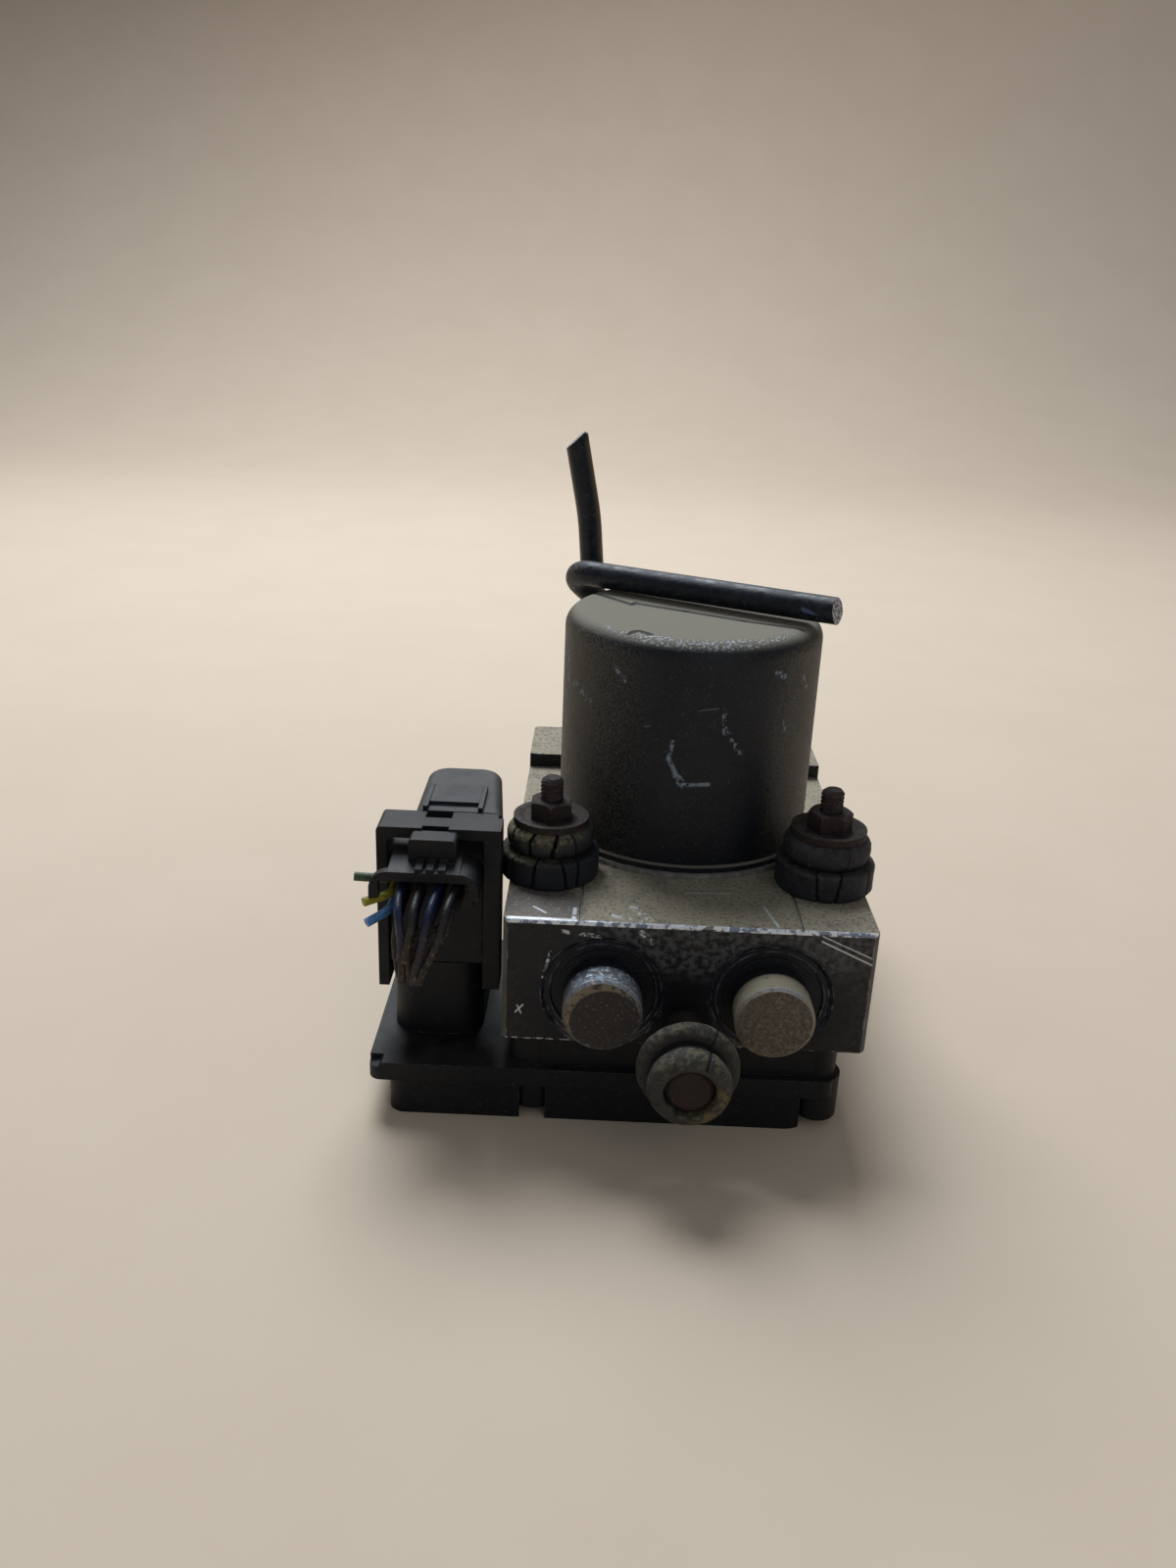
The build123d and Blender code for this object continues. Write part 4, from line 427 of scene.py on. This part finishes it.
def rubber_finish(name):
    f = Finish(name, (0.012, 0.014, 0.019), 0.6, soft_edge=0)
    f.paint((0.022, 0.024, 0.028), f.cloud(3, 0.4, 0.65), 0.7, roughness=0.75)
    # the left bush and the front grommet are crusted with yellow-grey dirt above
    left = f.near((-38.5, -37, 70), 9.5, 5, (1, 1, 1.2))
    high = f.facing(UP, -0.25, 0.6)
    f.paint((0.12, 0.105, 0.07), f.times(left, high, f.cloud(2.2, 0.36, 0.56, seed=9)), 0.9, 0.9)
    f.paint((0.21, 0.185, 0.10), f.times(left, high, f.cloud(1.0, 0.48, 0.6, seed=19)), 0.7, 0.9)
    nose = f.near((0, -84, 29), 15, 3)
    f.paint((0.038, 0.035, 0.030), nose, 0.85, 0.7)
    f.paint((0.15, 0.135, 0.09), f.times(nose, f.facing(UP, -0.1, 0.8),
                                         f.cloud(1.6, 0.42, 0.62, seed=29)), 0.75, 0.9)
    f.paint((0.16, 0.12, 0.045), f.times(f.near((7.0, -90, 24), 4.5, 4),
                                         f.cloud(1.5, 0.4, 0.6, seed=39)), 0.8, 0.9)
    f.paint((0.012, 0.012, 0.014), f.times(nose, f.cloud(0.8, 0.56, 0.66, seed=49)), 0.8)
    # painted shade: a dark ring where the flange meets the nose
    groove_shade = f.times(
        f.near((0, -84.5, 29), 2.0, 0.4, (0, 1, 0)), f.near((0, -84.5, 29), 9.2, 0.3, (1, 0, 1)))
    f.paint((0.010, 0.008, 0.010), groove_shade, 0.95, 0.7)
    right = f.near((35.2, -35.5, 68), 14, 2)
    film = f.times(right, high, f.cloud(2.2, 0.34, 0.6, seed=59))
    f.paint((0.055, 0.048, 0.048), film, 0.8, 0.8)
    f.paint((0.10, 0.075, 0.055), f.times(right, f.cloud(1.2, 0.58, 0.68, seed=69)), 0.5, 0.85)
    # painted shade: cracks are painted black by their depth
    crack_shade = f.node("ShaderNodeAttribute", attribute_name="crack").outputs["Fac"]
    f.paint((0.003, 0.003, 0.004), crack_shade, 0.97, 0.8)
    f.raise_by(f.cloud(0.6, 0.3, 0.7, seed=6), 0.06)
    return f.done()


def steel_finish(name, colour, rust, dust):
    f = Finish(name, colour, 0.55, metallic=0.4, soft_edge=0.3)
    f.paint(DARK_RUST, f.cloud(2.5, 0.36, 0.6), rust, roughness=0.8, metallic=0.1)
    f.paint(RUST, f.cloud(1.2, 0.5, 0.64, seed=3), rust * 0.7, roughness=0.85, metallic=0.1)
    dusted(f, (0.13, 0.11, 0.10), dust, 0.8)
    worn = f.times(f.edges(0.5), f.cloud(1.0, 0.46, 0.6, seed=5))
    f.paint((0.20, 0.185, 0.18), worn, 0.65, roughness=0.45, metallic=0.7)
    f.raise_by(f.cloud(0.5, 0.3, 0.7, seed=6), 0.07)
    return f.done()


def pipe_finish():
    f = Finish("pipe_black", (0.004, 0.0055, 0.010), 0.26, soft_edge=0)
    f.paint((0.02, 0.024, 0.033), f.cloud(2.5, 0.4, 0.65), 0.6, roughness=0.4)
    dusted(f, (0.06, 0.07, 0.085), 0.5, 1.0)
    f.paint((0.16, 0.15, 0.13), f.cloud(0.7, 0.62, 0.70, seed=4), 0.5, roughness=0.9)
    # dusty knuckle, and a painted brown reflection low on the upright, on both sides
    knuckle = f.times(f.near((-36, 26, 122), 6, 5), f.cloud(1.2, 0.4, 0.6))
    f.paint((0.11, 0.105, 0.095), knuckle, 0.8, 0.9)
    tan_patch = f.times(f.near((-18, 40, 104), 15, 4), f.cloud(2, 0.4, 0.6))
    f.paint((0.20, 0.15, 0.09), tan_patch, 0.7, 0.9)
    painted_sheen = f.times(f.near((-31, 50, 138), 16, 3), f.facing((1, -0.1, 0), 0.55, 0.95))
    f.paint((0.13, 0.095, 0.05), painted_sheen, 0.6, 0.4)
    painted_sheen = f.times(f.near((-31, 50, 138), 16, 3), f.facing((-1, -0.1, 0), 0.7, 0.95))
    f.paint((0.10, 0.08, 0.05), painted_sheen, 0.5, 0.4)
    # bright torn metal at the two cuts
    upright_cut = f.times(f.near((-36, 48.5, 156), 5.5, 2), f.facing((-0.68, 0, 0.73), 0.55, 0.8))
    long_cut = f.times(f.near((35.5, -14, 123), 6, 2), f.facing((0.86, -0.51, 0), 0.6, 0.85))
    cut = f.math("MAXIMUM", upright_cut, long_cut)
    f.paint((0.50, 0.55, 0.62), f.times(cut, f.cloud(0.8, 0.44, 0.52, seed=31)), 0.95, 0.35, 0.7)
    f.paint((0.85, 0.88, 0.92), f.times(cut, f.cloud(0.6, 0.55, 0.6, seed=32)), 0.95, 0.3, 0.5)
    blue_nick = f.stroke((26.5, -13.0, 123), (31.0, -16.2, 121.6), 0.8, 0.3)
    f.paint((0.09, 0.14, 0.26), blue_nick, 0.8, 0.3, 0.2)
    f.raise_by(f.times(cut, f.cloud(0.7, 0.4, 0.6, seed=33)), 0.4)
    f.raise_by(f.cloud(1.0, 0.3, 0.7, seed=6), 0.04)
    return f.done()


def plain_metal(name, colour, roughness=0.35):
    """Clean hidden metal with a faint grain."""
    f = Finish(name, colour, roughness, metallic=1.0)
    darker = tuple(c * 0.75 for c in colour)
    f.paint(darker, f.cloud(3, 0.4, 0.65), 0.5, roughness=roughness + 0.12)
    f.raise_by(f.cloud(0.5, 0.3, 0.7, stretch=(1, 1, 6)), 0.01)
    return f.done()


def plain_soft(name, colour, roughness):
    """Hidden plastic, rubber or carbon with a faint grain."""
    f = Finish(name, colour, roughness)
    f.paint(tuple(c * 1.5 for c in colour), f.cloud(4, 0.4, 0.7), 0.5, roughness=roughness + 0.1)
    f.raise_by(f.cloud(0.5, 0.3, 0.7, seed=2), 0.015)
    return f.done()


def wire_finish(name, colour, dirt=0.6):
    """Insulation that is clean under the hood and crusted with dirt towards the cut ends."""
    f = Finish(name, colour, 0.38, soft_edge=0)
    f.paint(tuple(c * 0.4 for c in colour), f.cloud(2, 0.45, 0.62), 0.7, roughness=0.55)
    low = f.near((-64, -66, 45), 7.5, 9)
    f.paint((0.045, 0.034, 0.026), f.times(low, f.cloud(1.6, 0.36, 0.56, seed=3)), 0.9, 0.85)
    f.paint((0.17, 0.14, 0.095), f.times(low, f.cloud(0.9, 0.54, 0.64, seed=13)), dirt, 0.9)
    f.paint((0.08, 0.065, 0.05), f.cloud(1.0, 0.56, 0.7, seed=5), dirt * 0.6, 0.85)
    f.raise_by(f.cloud(0.8, 0.3, 0.7, seed=6), 0.05)
    return f.done()


finishes = {
    "raw_aluminium": block_finish(),
    "cap_aluminium": cap_finish(),
    "black_can": can_finish(),
    "black_plastic": plastic_finish("black_plastic", (0.0030, 0.0035, 0.0050), 0.5, 0.12),
    "grey_plastic": plastic_finish("grey_plastic", (0.011, 0.013, 0.017), 0.42, 0.3),
    "black_rubber": rubber_finish("black_rubber"),
    "rusty_steel": steel_finish("rusty_steel", (0.022, 0.018, 0.018), 0.8, 0.15),
    "plated_steel": steel_finish("plated_steel", (0.30, 0.29, 0.27), 0.35, 0.4),
    "pipe_black": pipe_finish(),
    "spring_steel": plain_metal("spring_steel", (0.55, 0.55, 0.56)),
    "seal_silicone": plain_soft("seal_silicone", (0.012, 0.012, 0.014), 0.5),
    "board_green": plain_soft("board_green", (0.015, 0.10, 0.045), 0.4),
    "copper": plain_metal("copper", (0.72, 0.34, 0.18)),
    "tinned_brass": plain_metal("tinned_brass", (0.70, 0.62, 0.42)),
    "magnet_ferrite": plain_soft("magnet_ferrite", (0.045, 0.045, 0.05), 0.55),
    "laminated_steel": plain_metal("laminated_steel", (0.36, 0.36, 0.37), 0.45),
    "carbon": plain_soft("carbon", (0.02, 0.02, 0.021), 0.65),
    "green_insulation": wire_finish("green_insulation", (0.065, 0.10, 0.05), 0.3),
    "yellow_insulation": wire_finish("yellow_insulation", (0.34, 0.30, 0.035), 0.3),
    "blue_insulation": wire_finish("blue_insulation", (0.09, 0.26, 0.58), 0.25),
    "dark_insulation": wire_finish("dark_insulation", (0.016, 0.015, 0.018)),
    "navy_insulation": wire_finish("navy_insulation", (0.010, 0.018, 0.055)),
    "brown_insulation": wire_finish("brown_insulation", (0.045, 0.028, 0.030)),
}


def clothe(piece, finish_name):
    """Gives a piece one finish, in place of what it has."""
    piece.data.materials.clear()
    piece.data.materials.append(finishes[finish_name])


for part in frame["record"]["subparts"]:
    clothe(nodes[part["node"]], part["material_slot"])

# ---------------------------------------------------------------- forms left to the scene


SHARP_DEGREES = 50
RUBBER_STEP = 0.5
BUSH_BORE = 3.2
GROMMET_BORE = 3.2
CRACK_SHADE_DEPTH = 0.35  # a crack this deep in mm is painted fully black as shade
WIRE_THICKNESS = 1.9


class Form:
    """Points and faces of one modelled piece, gathered before its mesh is made."""

    def __init__(self):
        self.points, self.faces, self.cracks = [], [], []

    def turned(self, place, outline, shape, turns, forward=False):
        """A closed turned body; outline runs (radius, height) in mm, and 0 gives a pole.

        shape moves each point of it and says how deep in a crack the point lies.
        """
        rings = []
        for radius, height in outline:
            ring = []
            for step in range(turns if radius > 0 else 1):
                angle = 2 * math.pi * step / turns
                r, h, crack = shape(angle, radius, height)
                across, up = r * math.cos(angle), r * math.sin(angle)
                offset = (across, -h, up) if forward else (across, up, h)
                ring.append(len(self.points))
                self.points.append([a + b for a, b in zip(place, offset)])
                self.cracks.append(crack)
            rings.append(ring)
        for low, high in zip(rings, rings[1:]):
            for j in range(turns):
                k = j + 1
                corners = (
                    low[j % len(low)], low[k % len(low)], high[k % len(high)], high[j % len(high)],
                )
                face = tuple(dict.fromkeys(corners))
                if len(face) > 2:
                    self.faces.append(face)
        return self

    def made(self, name, finish_name, *replaced):
        """Turns the gathered points and faces into a piece that stands for the replaced nodes."""
        mesh = bpy.data.meshes.new(name)
        mesh.from_pydata([[c * MM for c in point] for point in self.points], [], self.faces)
        turned_out = bmesh.new()
        turned_out.from_mesh(mesh)
        bmesh.ops.recalc_face_normals(turned_out, faces=turned_out.faces)
        turned_out.to_mesh(mesh)
        turned_out.free()
        mesh.shade_smooth()
        mesh.set_sharp_from_angle(angle=math.radians(SHARP_DEGREES))
        mark = mesh.attributes.new("crack", "FLOAT", "POINT")
        mark.data.foreach_set("value", self.cracks)
        piece = bpy.data.objects.new(name, mesh)
        placed(piece, finish_name, replaced)


def placed(piece, finish_name, replaced, body="unit"):
    """Dresses a finished piece, fixes it to its body and hides the nodes it stands for."""
    bpy.context.scene.collection.objects.link(piece)
    clothe(piece, finish_name)
    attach(piece, body)
    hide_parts(*replaced)


def divided(outline, step):
    """The outline with every run split into pieces no longer than step."""
    result = [outline[0]]
    for start, end in zip(outline, outline[1:]):
        count = max(1, math.ceil(math.dist(start, end) / step))
        for i in range(1, count + 1):
            result.append(tuple(a + (b - a) * i / count for a, b in zip(start, end)))
    return result


def arc(radius, height, size, start, end, steps=6):
    """Outline points round a corner; angles in degrees, 0 outwards and 90 upwards."""
    angles = [math.radians(start + (end - start) * i / steps) for i in range(steps + 1)]
    return [(radius + size * math.cos(a), height + size * math.sin(a)) for a in angles]


def pair(node):
    """Radius, centres, bottom and top of two equal round solids in one node, in mm."""
    low, high = [[c / MM for c in corner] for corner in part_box(node)]
    radius = (high[1] - low[1]) / 2
    y = (low[1] + high[1]) / 2
    return radius, ((low[0] + radius, y), (high[0] - radius, y)), low[2], high[2]


def cracked(radius, middle, cracks, seed, swell):
    """A shape that wears a turned rubber body: a slow swell and deep v-shaped cracks.

    Each crack is its angle and its lean in degrees, then its half width and depth in mm.
    """

    def shape(angle, r, h):
        if r < radius * 0.6:
            return r, h, 0.0
        at = Vector((math.cos(angle) * 2.2, math.sin(angle) * 2.2, h * 0.28 + seed))
        # the solid's size is the outer limit, so the swell only goes inwards
        inward = swell * (0.5 + 0.5 * noise.noise(at)) + 0.12 * (0.5 + 0.5 * noise.noise(at * 5))
        depth = 0.0
        for place, lean, half_width, deep in cracks:
            wander = 2.0 * noise.noise(Vector((h * 0.5, place, seed)))
            centre = place + lean * (h - middle) / 10 + wander
            off = (math.degrees(angle) - centre + 180) % 360 - 180
            away = abs(math.radians(off)) * r
            depth = max(depth, deep * max(0.0, 1 - away / half_width))
        return r - inward - depth, h, min(1.0, depth / CRACK_SHADE_DEPTH)

    return shape


def rubber_body(name, finish_name, size, left_cracks, right_cracks, swell):
    """The two worn rubber solids of a node, with corners rounded to size."""
    radius, centres, bottom, top = pair(name)
    outline = [(BUSH_BORE, bottom), (radius - size, bottom)]
    outline += arc(radius - size, bottom + size, size, -90, 0)
    outline += arc(radius - size, top - size, size, 0, 90)
    outline += [(BUSH_BORE, top), (BUSH_BORE, bottom)]
    form = Form()
    for centre, cracks, seed in zip(centres, (left_cracks, right_cracks), (1.0, 5.0)):
        shape = cracked(radius, (bottom + top) / 2, cracks, seed, swell)
        form.turned((*centre, 0), divided(outline, RUBBER_STEP), shape, turns=300)
    form.made(name + "_worn", finish_name, name)


def threaded_studs():
    """Studs with a cut thread on the free end above the nuts."""
    radius, centres, bottom, top = pair("mounting_studs")
    nut_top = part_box("mount_nuts")[1][2] / MM
    pitch, depth, core, chamfer, neck = 1.0, 0.42, 2.65, 0.8, 0.3
    thread_step = 0.1

    def thread(angle, r, h):
        if h <= nut_top + neck or r < radius - chamfer:
            return r, h, 0.0
        phase = (h / pitch - angle / (2 * math.pi)) % 1.0
        return r - depth * (1 - abs(2 * phase - 1)), h, 0.0

    outline = [(0, bottom), (core, bottom), (core, nut_top + neck)]
    outline += divided([(radius, nut_top + neck), (radius, top - chamfer)], thread_step)
    outline += [(radius - chamfer, top), (0, top)]
    form = Form()
    for centre in centres:
        form.turned((*centre, 0), outline, thread, turns=60)
    form.made("stud_threads", "rusty_steel", "mounting_studs")


def front_grommet():
    """The rubber grommet round the front pin: fat round flange, waist and domed nose."""
    low, high = [[c / MM for c in corner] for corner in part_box("lower_grommet")]
    axis = ((low[0] + high[0]) / 2, 0, (low[2] + high[2]) / 2)
    flange = (high[2] - low[2]) / 2
    back, tip = -high[1], -low[1]
    thick, waist, waist_width, lip, dome = 4.5, 8.6, 3.4, 10.1, 3.7
    back_corner, front_corner, lip_corner = 2.1, 2.2, 1.1
    before_waist, behind_lip, lip_rise = 0.1, 0.4, 0.7
    mouth, mouth_bevel, mouth_bevel_depth, floor_reach = 6.1, 0.25, 0.3, 24.2
    floor = floor_reach - BLOCK_FRONT
    front, lip_back = back + thick, back + thick + waist_width
    outline = [(GROMMET_BORE, back), (flange - back_corner, back)]
    outline += arc(flange - back_corner, back + back_corner, back_corner, -90, 0)
    outline += arc(flange - front_corner, front - front_corner, front_corner, 0, 90)
    outline += [(waist, front + before_waist), (waist, lip_back - behind_lip)]
    outline += arc(lip - lip_corner, lip_back + lip_rise, lip_corner, -90, 0)
    outline += arc(lip - dome, tip - dome, dome, 0, 82, steps=8)
    outline += [(mouth + mouth_bevel, tip), (mouth, tip - mouth_bevel_depth), (mouth, floor)]
    outline += [(GROMMET_BORE, floor), (GROMMET_BORE, back)]
    worn = cracked(flange, tip - 5, ((62, 6, 0.5, 0.5), (205, -4, 0.4, 0.35)), 9.0, 0.35)
    form = Form().turned(axis, divided(outline, RUBBER_STEP), worn, turns=240, forward=True)
    form.made("grommet_worn", "black_rubber", "lower_grommet")


def strands(name, finish_name, slot_name, routes, thickness_mm, *replaced):
    """Round bent wires, each a list of points in mm."""
    curve = bpy.data.curves.new(name, "CURVE")
    curve.dimensions = "3D"
    curve.bevel_depth = thickness_mm / 2 * MM
    curve.bevel_resolution = 4
    curve.use_fill_caps = True
    curve.resolution_u = 8
    for route in routes:
        line = curve.splines.new("NURBS")
        line.points.add(len(route) - 1)
        for point, place in zip(line.points, route):
            point.co = (*[c * MM for c in place], 1)
        line.order_u = 4
        line.use_endpoint_u = True
    drawn = bpy.data.objects.new(name, curve)
    bpy.context.scene.collection.objects.link(drawn)
    graph = bpy.context.evaluated_depsgraph_get()
    mesh = bpy.data.meshes.new_from_object(drawn.evaluated_get(graph))
    bpy.data.objects.remove(drawn)
    piece = bpy.data.objects.new(name + "_piece", mesh)
    placed(piece, finish_name, replaced)


def cut_bundle():
    """Twelve thin wires that come out under the hood, turn down and draw together."""
    low, high = [[c / MM for c in corner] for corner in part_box("wire_bundle")]
    rows, columns = 3, 4
    hood_x, hood_spacing, first_row, row_spacing = -63.2, 4.6, 1.3, 2.9
    cut_x, cut_spacing = -66.4, 1.9
    chance = random.Random(5)
    routes = []
    for row in range(rows):
        for column in range(columns):
            across = column - (columns - 1) / 2
            start_x = hood_x + across * hood_spacing + chance.uniform(-0.5, 0.5)
            start_z = high[2] - first_row - row * row_spacing
            turn = low[1] + 1.2 + row * 2.4 + chance.uniform(0, 0.9)
            end_x = cut_x + across * cut_spacing + chance.uniform(-1.1, 1.1)
            end_z = low[2] + 1.0 + chance.uniform(0, 8.5)
            sway = chance.uniform(-1.3, 1.3)
            routes.append([
                (start_x, high[1], start_z),
                (start_x, high[1] - 5, start_z + 0.2),
                (start_x * 0.8 + end_x * 0.2, turn + 3, start_z + 0.1),
                (start_x * 0.6 + end_x * 0.4 + sway, turn, start_z - 4),
                (start_x * 0.3 + end_x * 0.7 + sway, turn + 0.4, end_z + 7),
                (end_x + 0.5 * sway, turn + 0.3, end_z + 3),
                (end_x, turn + 0.2, end_z),
            ])
    chance.shuffle(routes)
    for name, finish_name, chosen in (
        ("dark_wires", "dark_insulation", routes[:6]),
        ("navy_wires", "navy_insulation", routes[6:10]),
        ("brown_wires", "brown_insulation", routes[10:]),
    ):
        strands(name, finish_name, "dark_insulation", chosen, WIRE_THICKNESS, "wire_bundle")


rubber_body(
    "rubber_bushes", "black_rubber", 2.9,
    ((-115.7, 4, 0.55, 1.3), (-83, 14, 0.6, 1.4), (-148, -8, 0.5, 1.0), (-52, -10, 0.35, 0.6)),
    ((-70, 10, 0.25, 0.3),), 0.35,
)
rubber_body(
    "rubber_rings", "black_rubber", 0.9,
    ((-107, 6, 0.5, 1.0), (-70, -8, 0.45, 0.9), (-53, 4, 0.5, 0.9), (-140, 12, 0.4, 0.7)),
    ((-107, -6, 0.4, 0.7), (-82, 8, 0.45, 0.8), (-39, 4, 0.4, 0.7)), 0.5,
)
threaded_studs()
front_grommet()
cut_bundle()

# ---------------------------------------------------------------- stage, light and camera


def stage_sweep():
    """A pale floor that curves up into a backdrop."""
    depth_front, depth_rear, bend, height, half_width = -2.2, 1.0, 0.7, 2.6, 3.5
    bend_steps = 12
    profile = [(depth_front, 0.0), (depth_rear, 0.0)]
    for step in range(1, bend_steps + 1):
        angle = math.radians(90 * step / bend_steps)
        profile.append((depth_rear + bend * math.sin(angle), bend * (1 - math.cos(angle))))
    profile.append((depth_rear + bend, height))
    points = [(side * half_width, y, z) for y, z in profile for side in (-1, 1)]
    faces = [(2 * i, 2 * i + 1, 2 * i + 3, 2 * i + 2) for i in range(len(profile) - 1)]
    mesh = bpy.data.meshes.new("floor")
    mesh.from_pydata(points, [], faces)
    floor = bpy.data.objects.new("floor", mesh)
    bpy.context.scene.collection.objects.link(floor)
    pale = Finish("pale_floor", (0.64, 0.53, 0.42), 0.85, soft_edge=0)
    pale.paint((0.60, 0.49, 0.385), pale.cloud(60, 0.3, 0.7), 0.4)
    mesh.materials.append(pale.done())
    for polygon in mesh.polygons:
        polygon.use_smooth = True


def area_light(name, place, target, size, watts, colour):
    data = bpy.data.lights.new(name, "AREA")
    data.shape = "DISK"
    data.size = size
    data.energy = watts
    data.color = colour
    lamp = bpy.data.objects.new(name, data)
    lamp.location = place
    lamp.rotation_euler = (Vector(target) - Vector(place)).to_track_quat("-Z", "Y").to_euler()
    bpy.context.scene.collection.objects.link(lamp)


def light():
    world = bpy.data.worlds.new("soft_room")
    world.use_nodes = True
    sky = world.node_tree.nodes["Background"]
    sky.inputs["Color"].default_value = (0.86, 0.93, 1.0, 1.0)
    sky.inputs["Strength"].default_value = 0.24
    bpy.context.scene.world = world
    area_light("window_above", (-0.25, 0.75, 1.25), (0, 0, 0.05), 0.9, 24, (0.88, 0.94, 1.0))
    area_light("front_fill", (0.5, -1.2, 0.9), (0, 0, 0.05), 1.0, 1.6, (1.0, 0.96, 0.9))


def camera():
    """The photograph's viewpoint, from the fit of the block, the motor and the nuts."""
    focal_pixels, long_side_pixels, sensor = 1294.0, 1600.0, 36.0
    pitch, yaw, roll = 21.62, 0.29, 2.41
    place_mm = (-24.764, -331.240, 198.683)
    data = bpy.data.cameras.new("camera")
    data.sensor_width = sensor
    data.lens = focal_pixels * sensor / long_side_pixels
    data.clip_start = 0.01
    seen = bpy.data.objects.new("camera", data)
    turn = (
        Matrix.Rotation(math.radians(yaw), 4, "Z")
        @ Matrix.Rotation(math.radians(90 - pitch), 4, "X")
        @ Matrix.Rotation(math.radians(roll), 4, "Z")
    )
    seen.matrix_world = Matrix.Translation(Vector(place_mm) * MM) @ turn
    bpy.context.scene.collection.objects.link(seen)
    bpy.context.scene.camera = seen


stage_sweep()
light()
camera()
bpy.context.scene.view_settings.view_transform = "Standard"
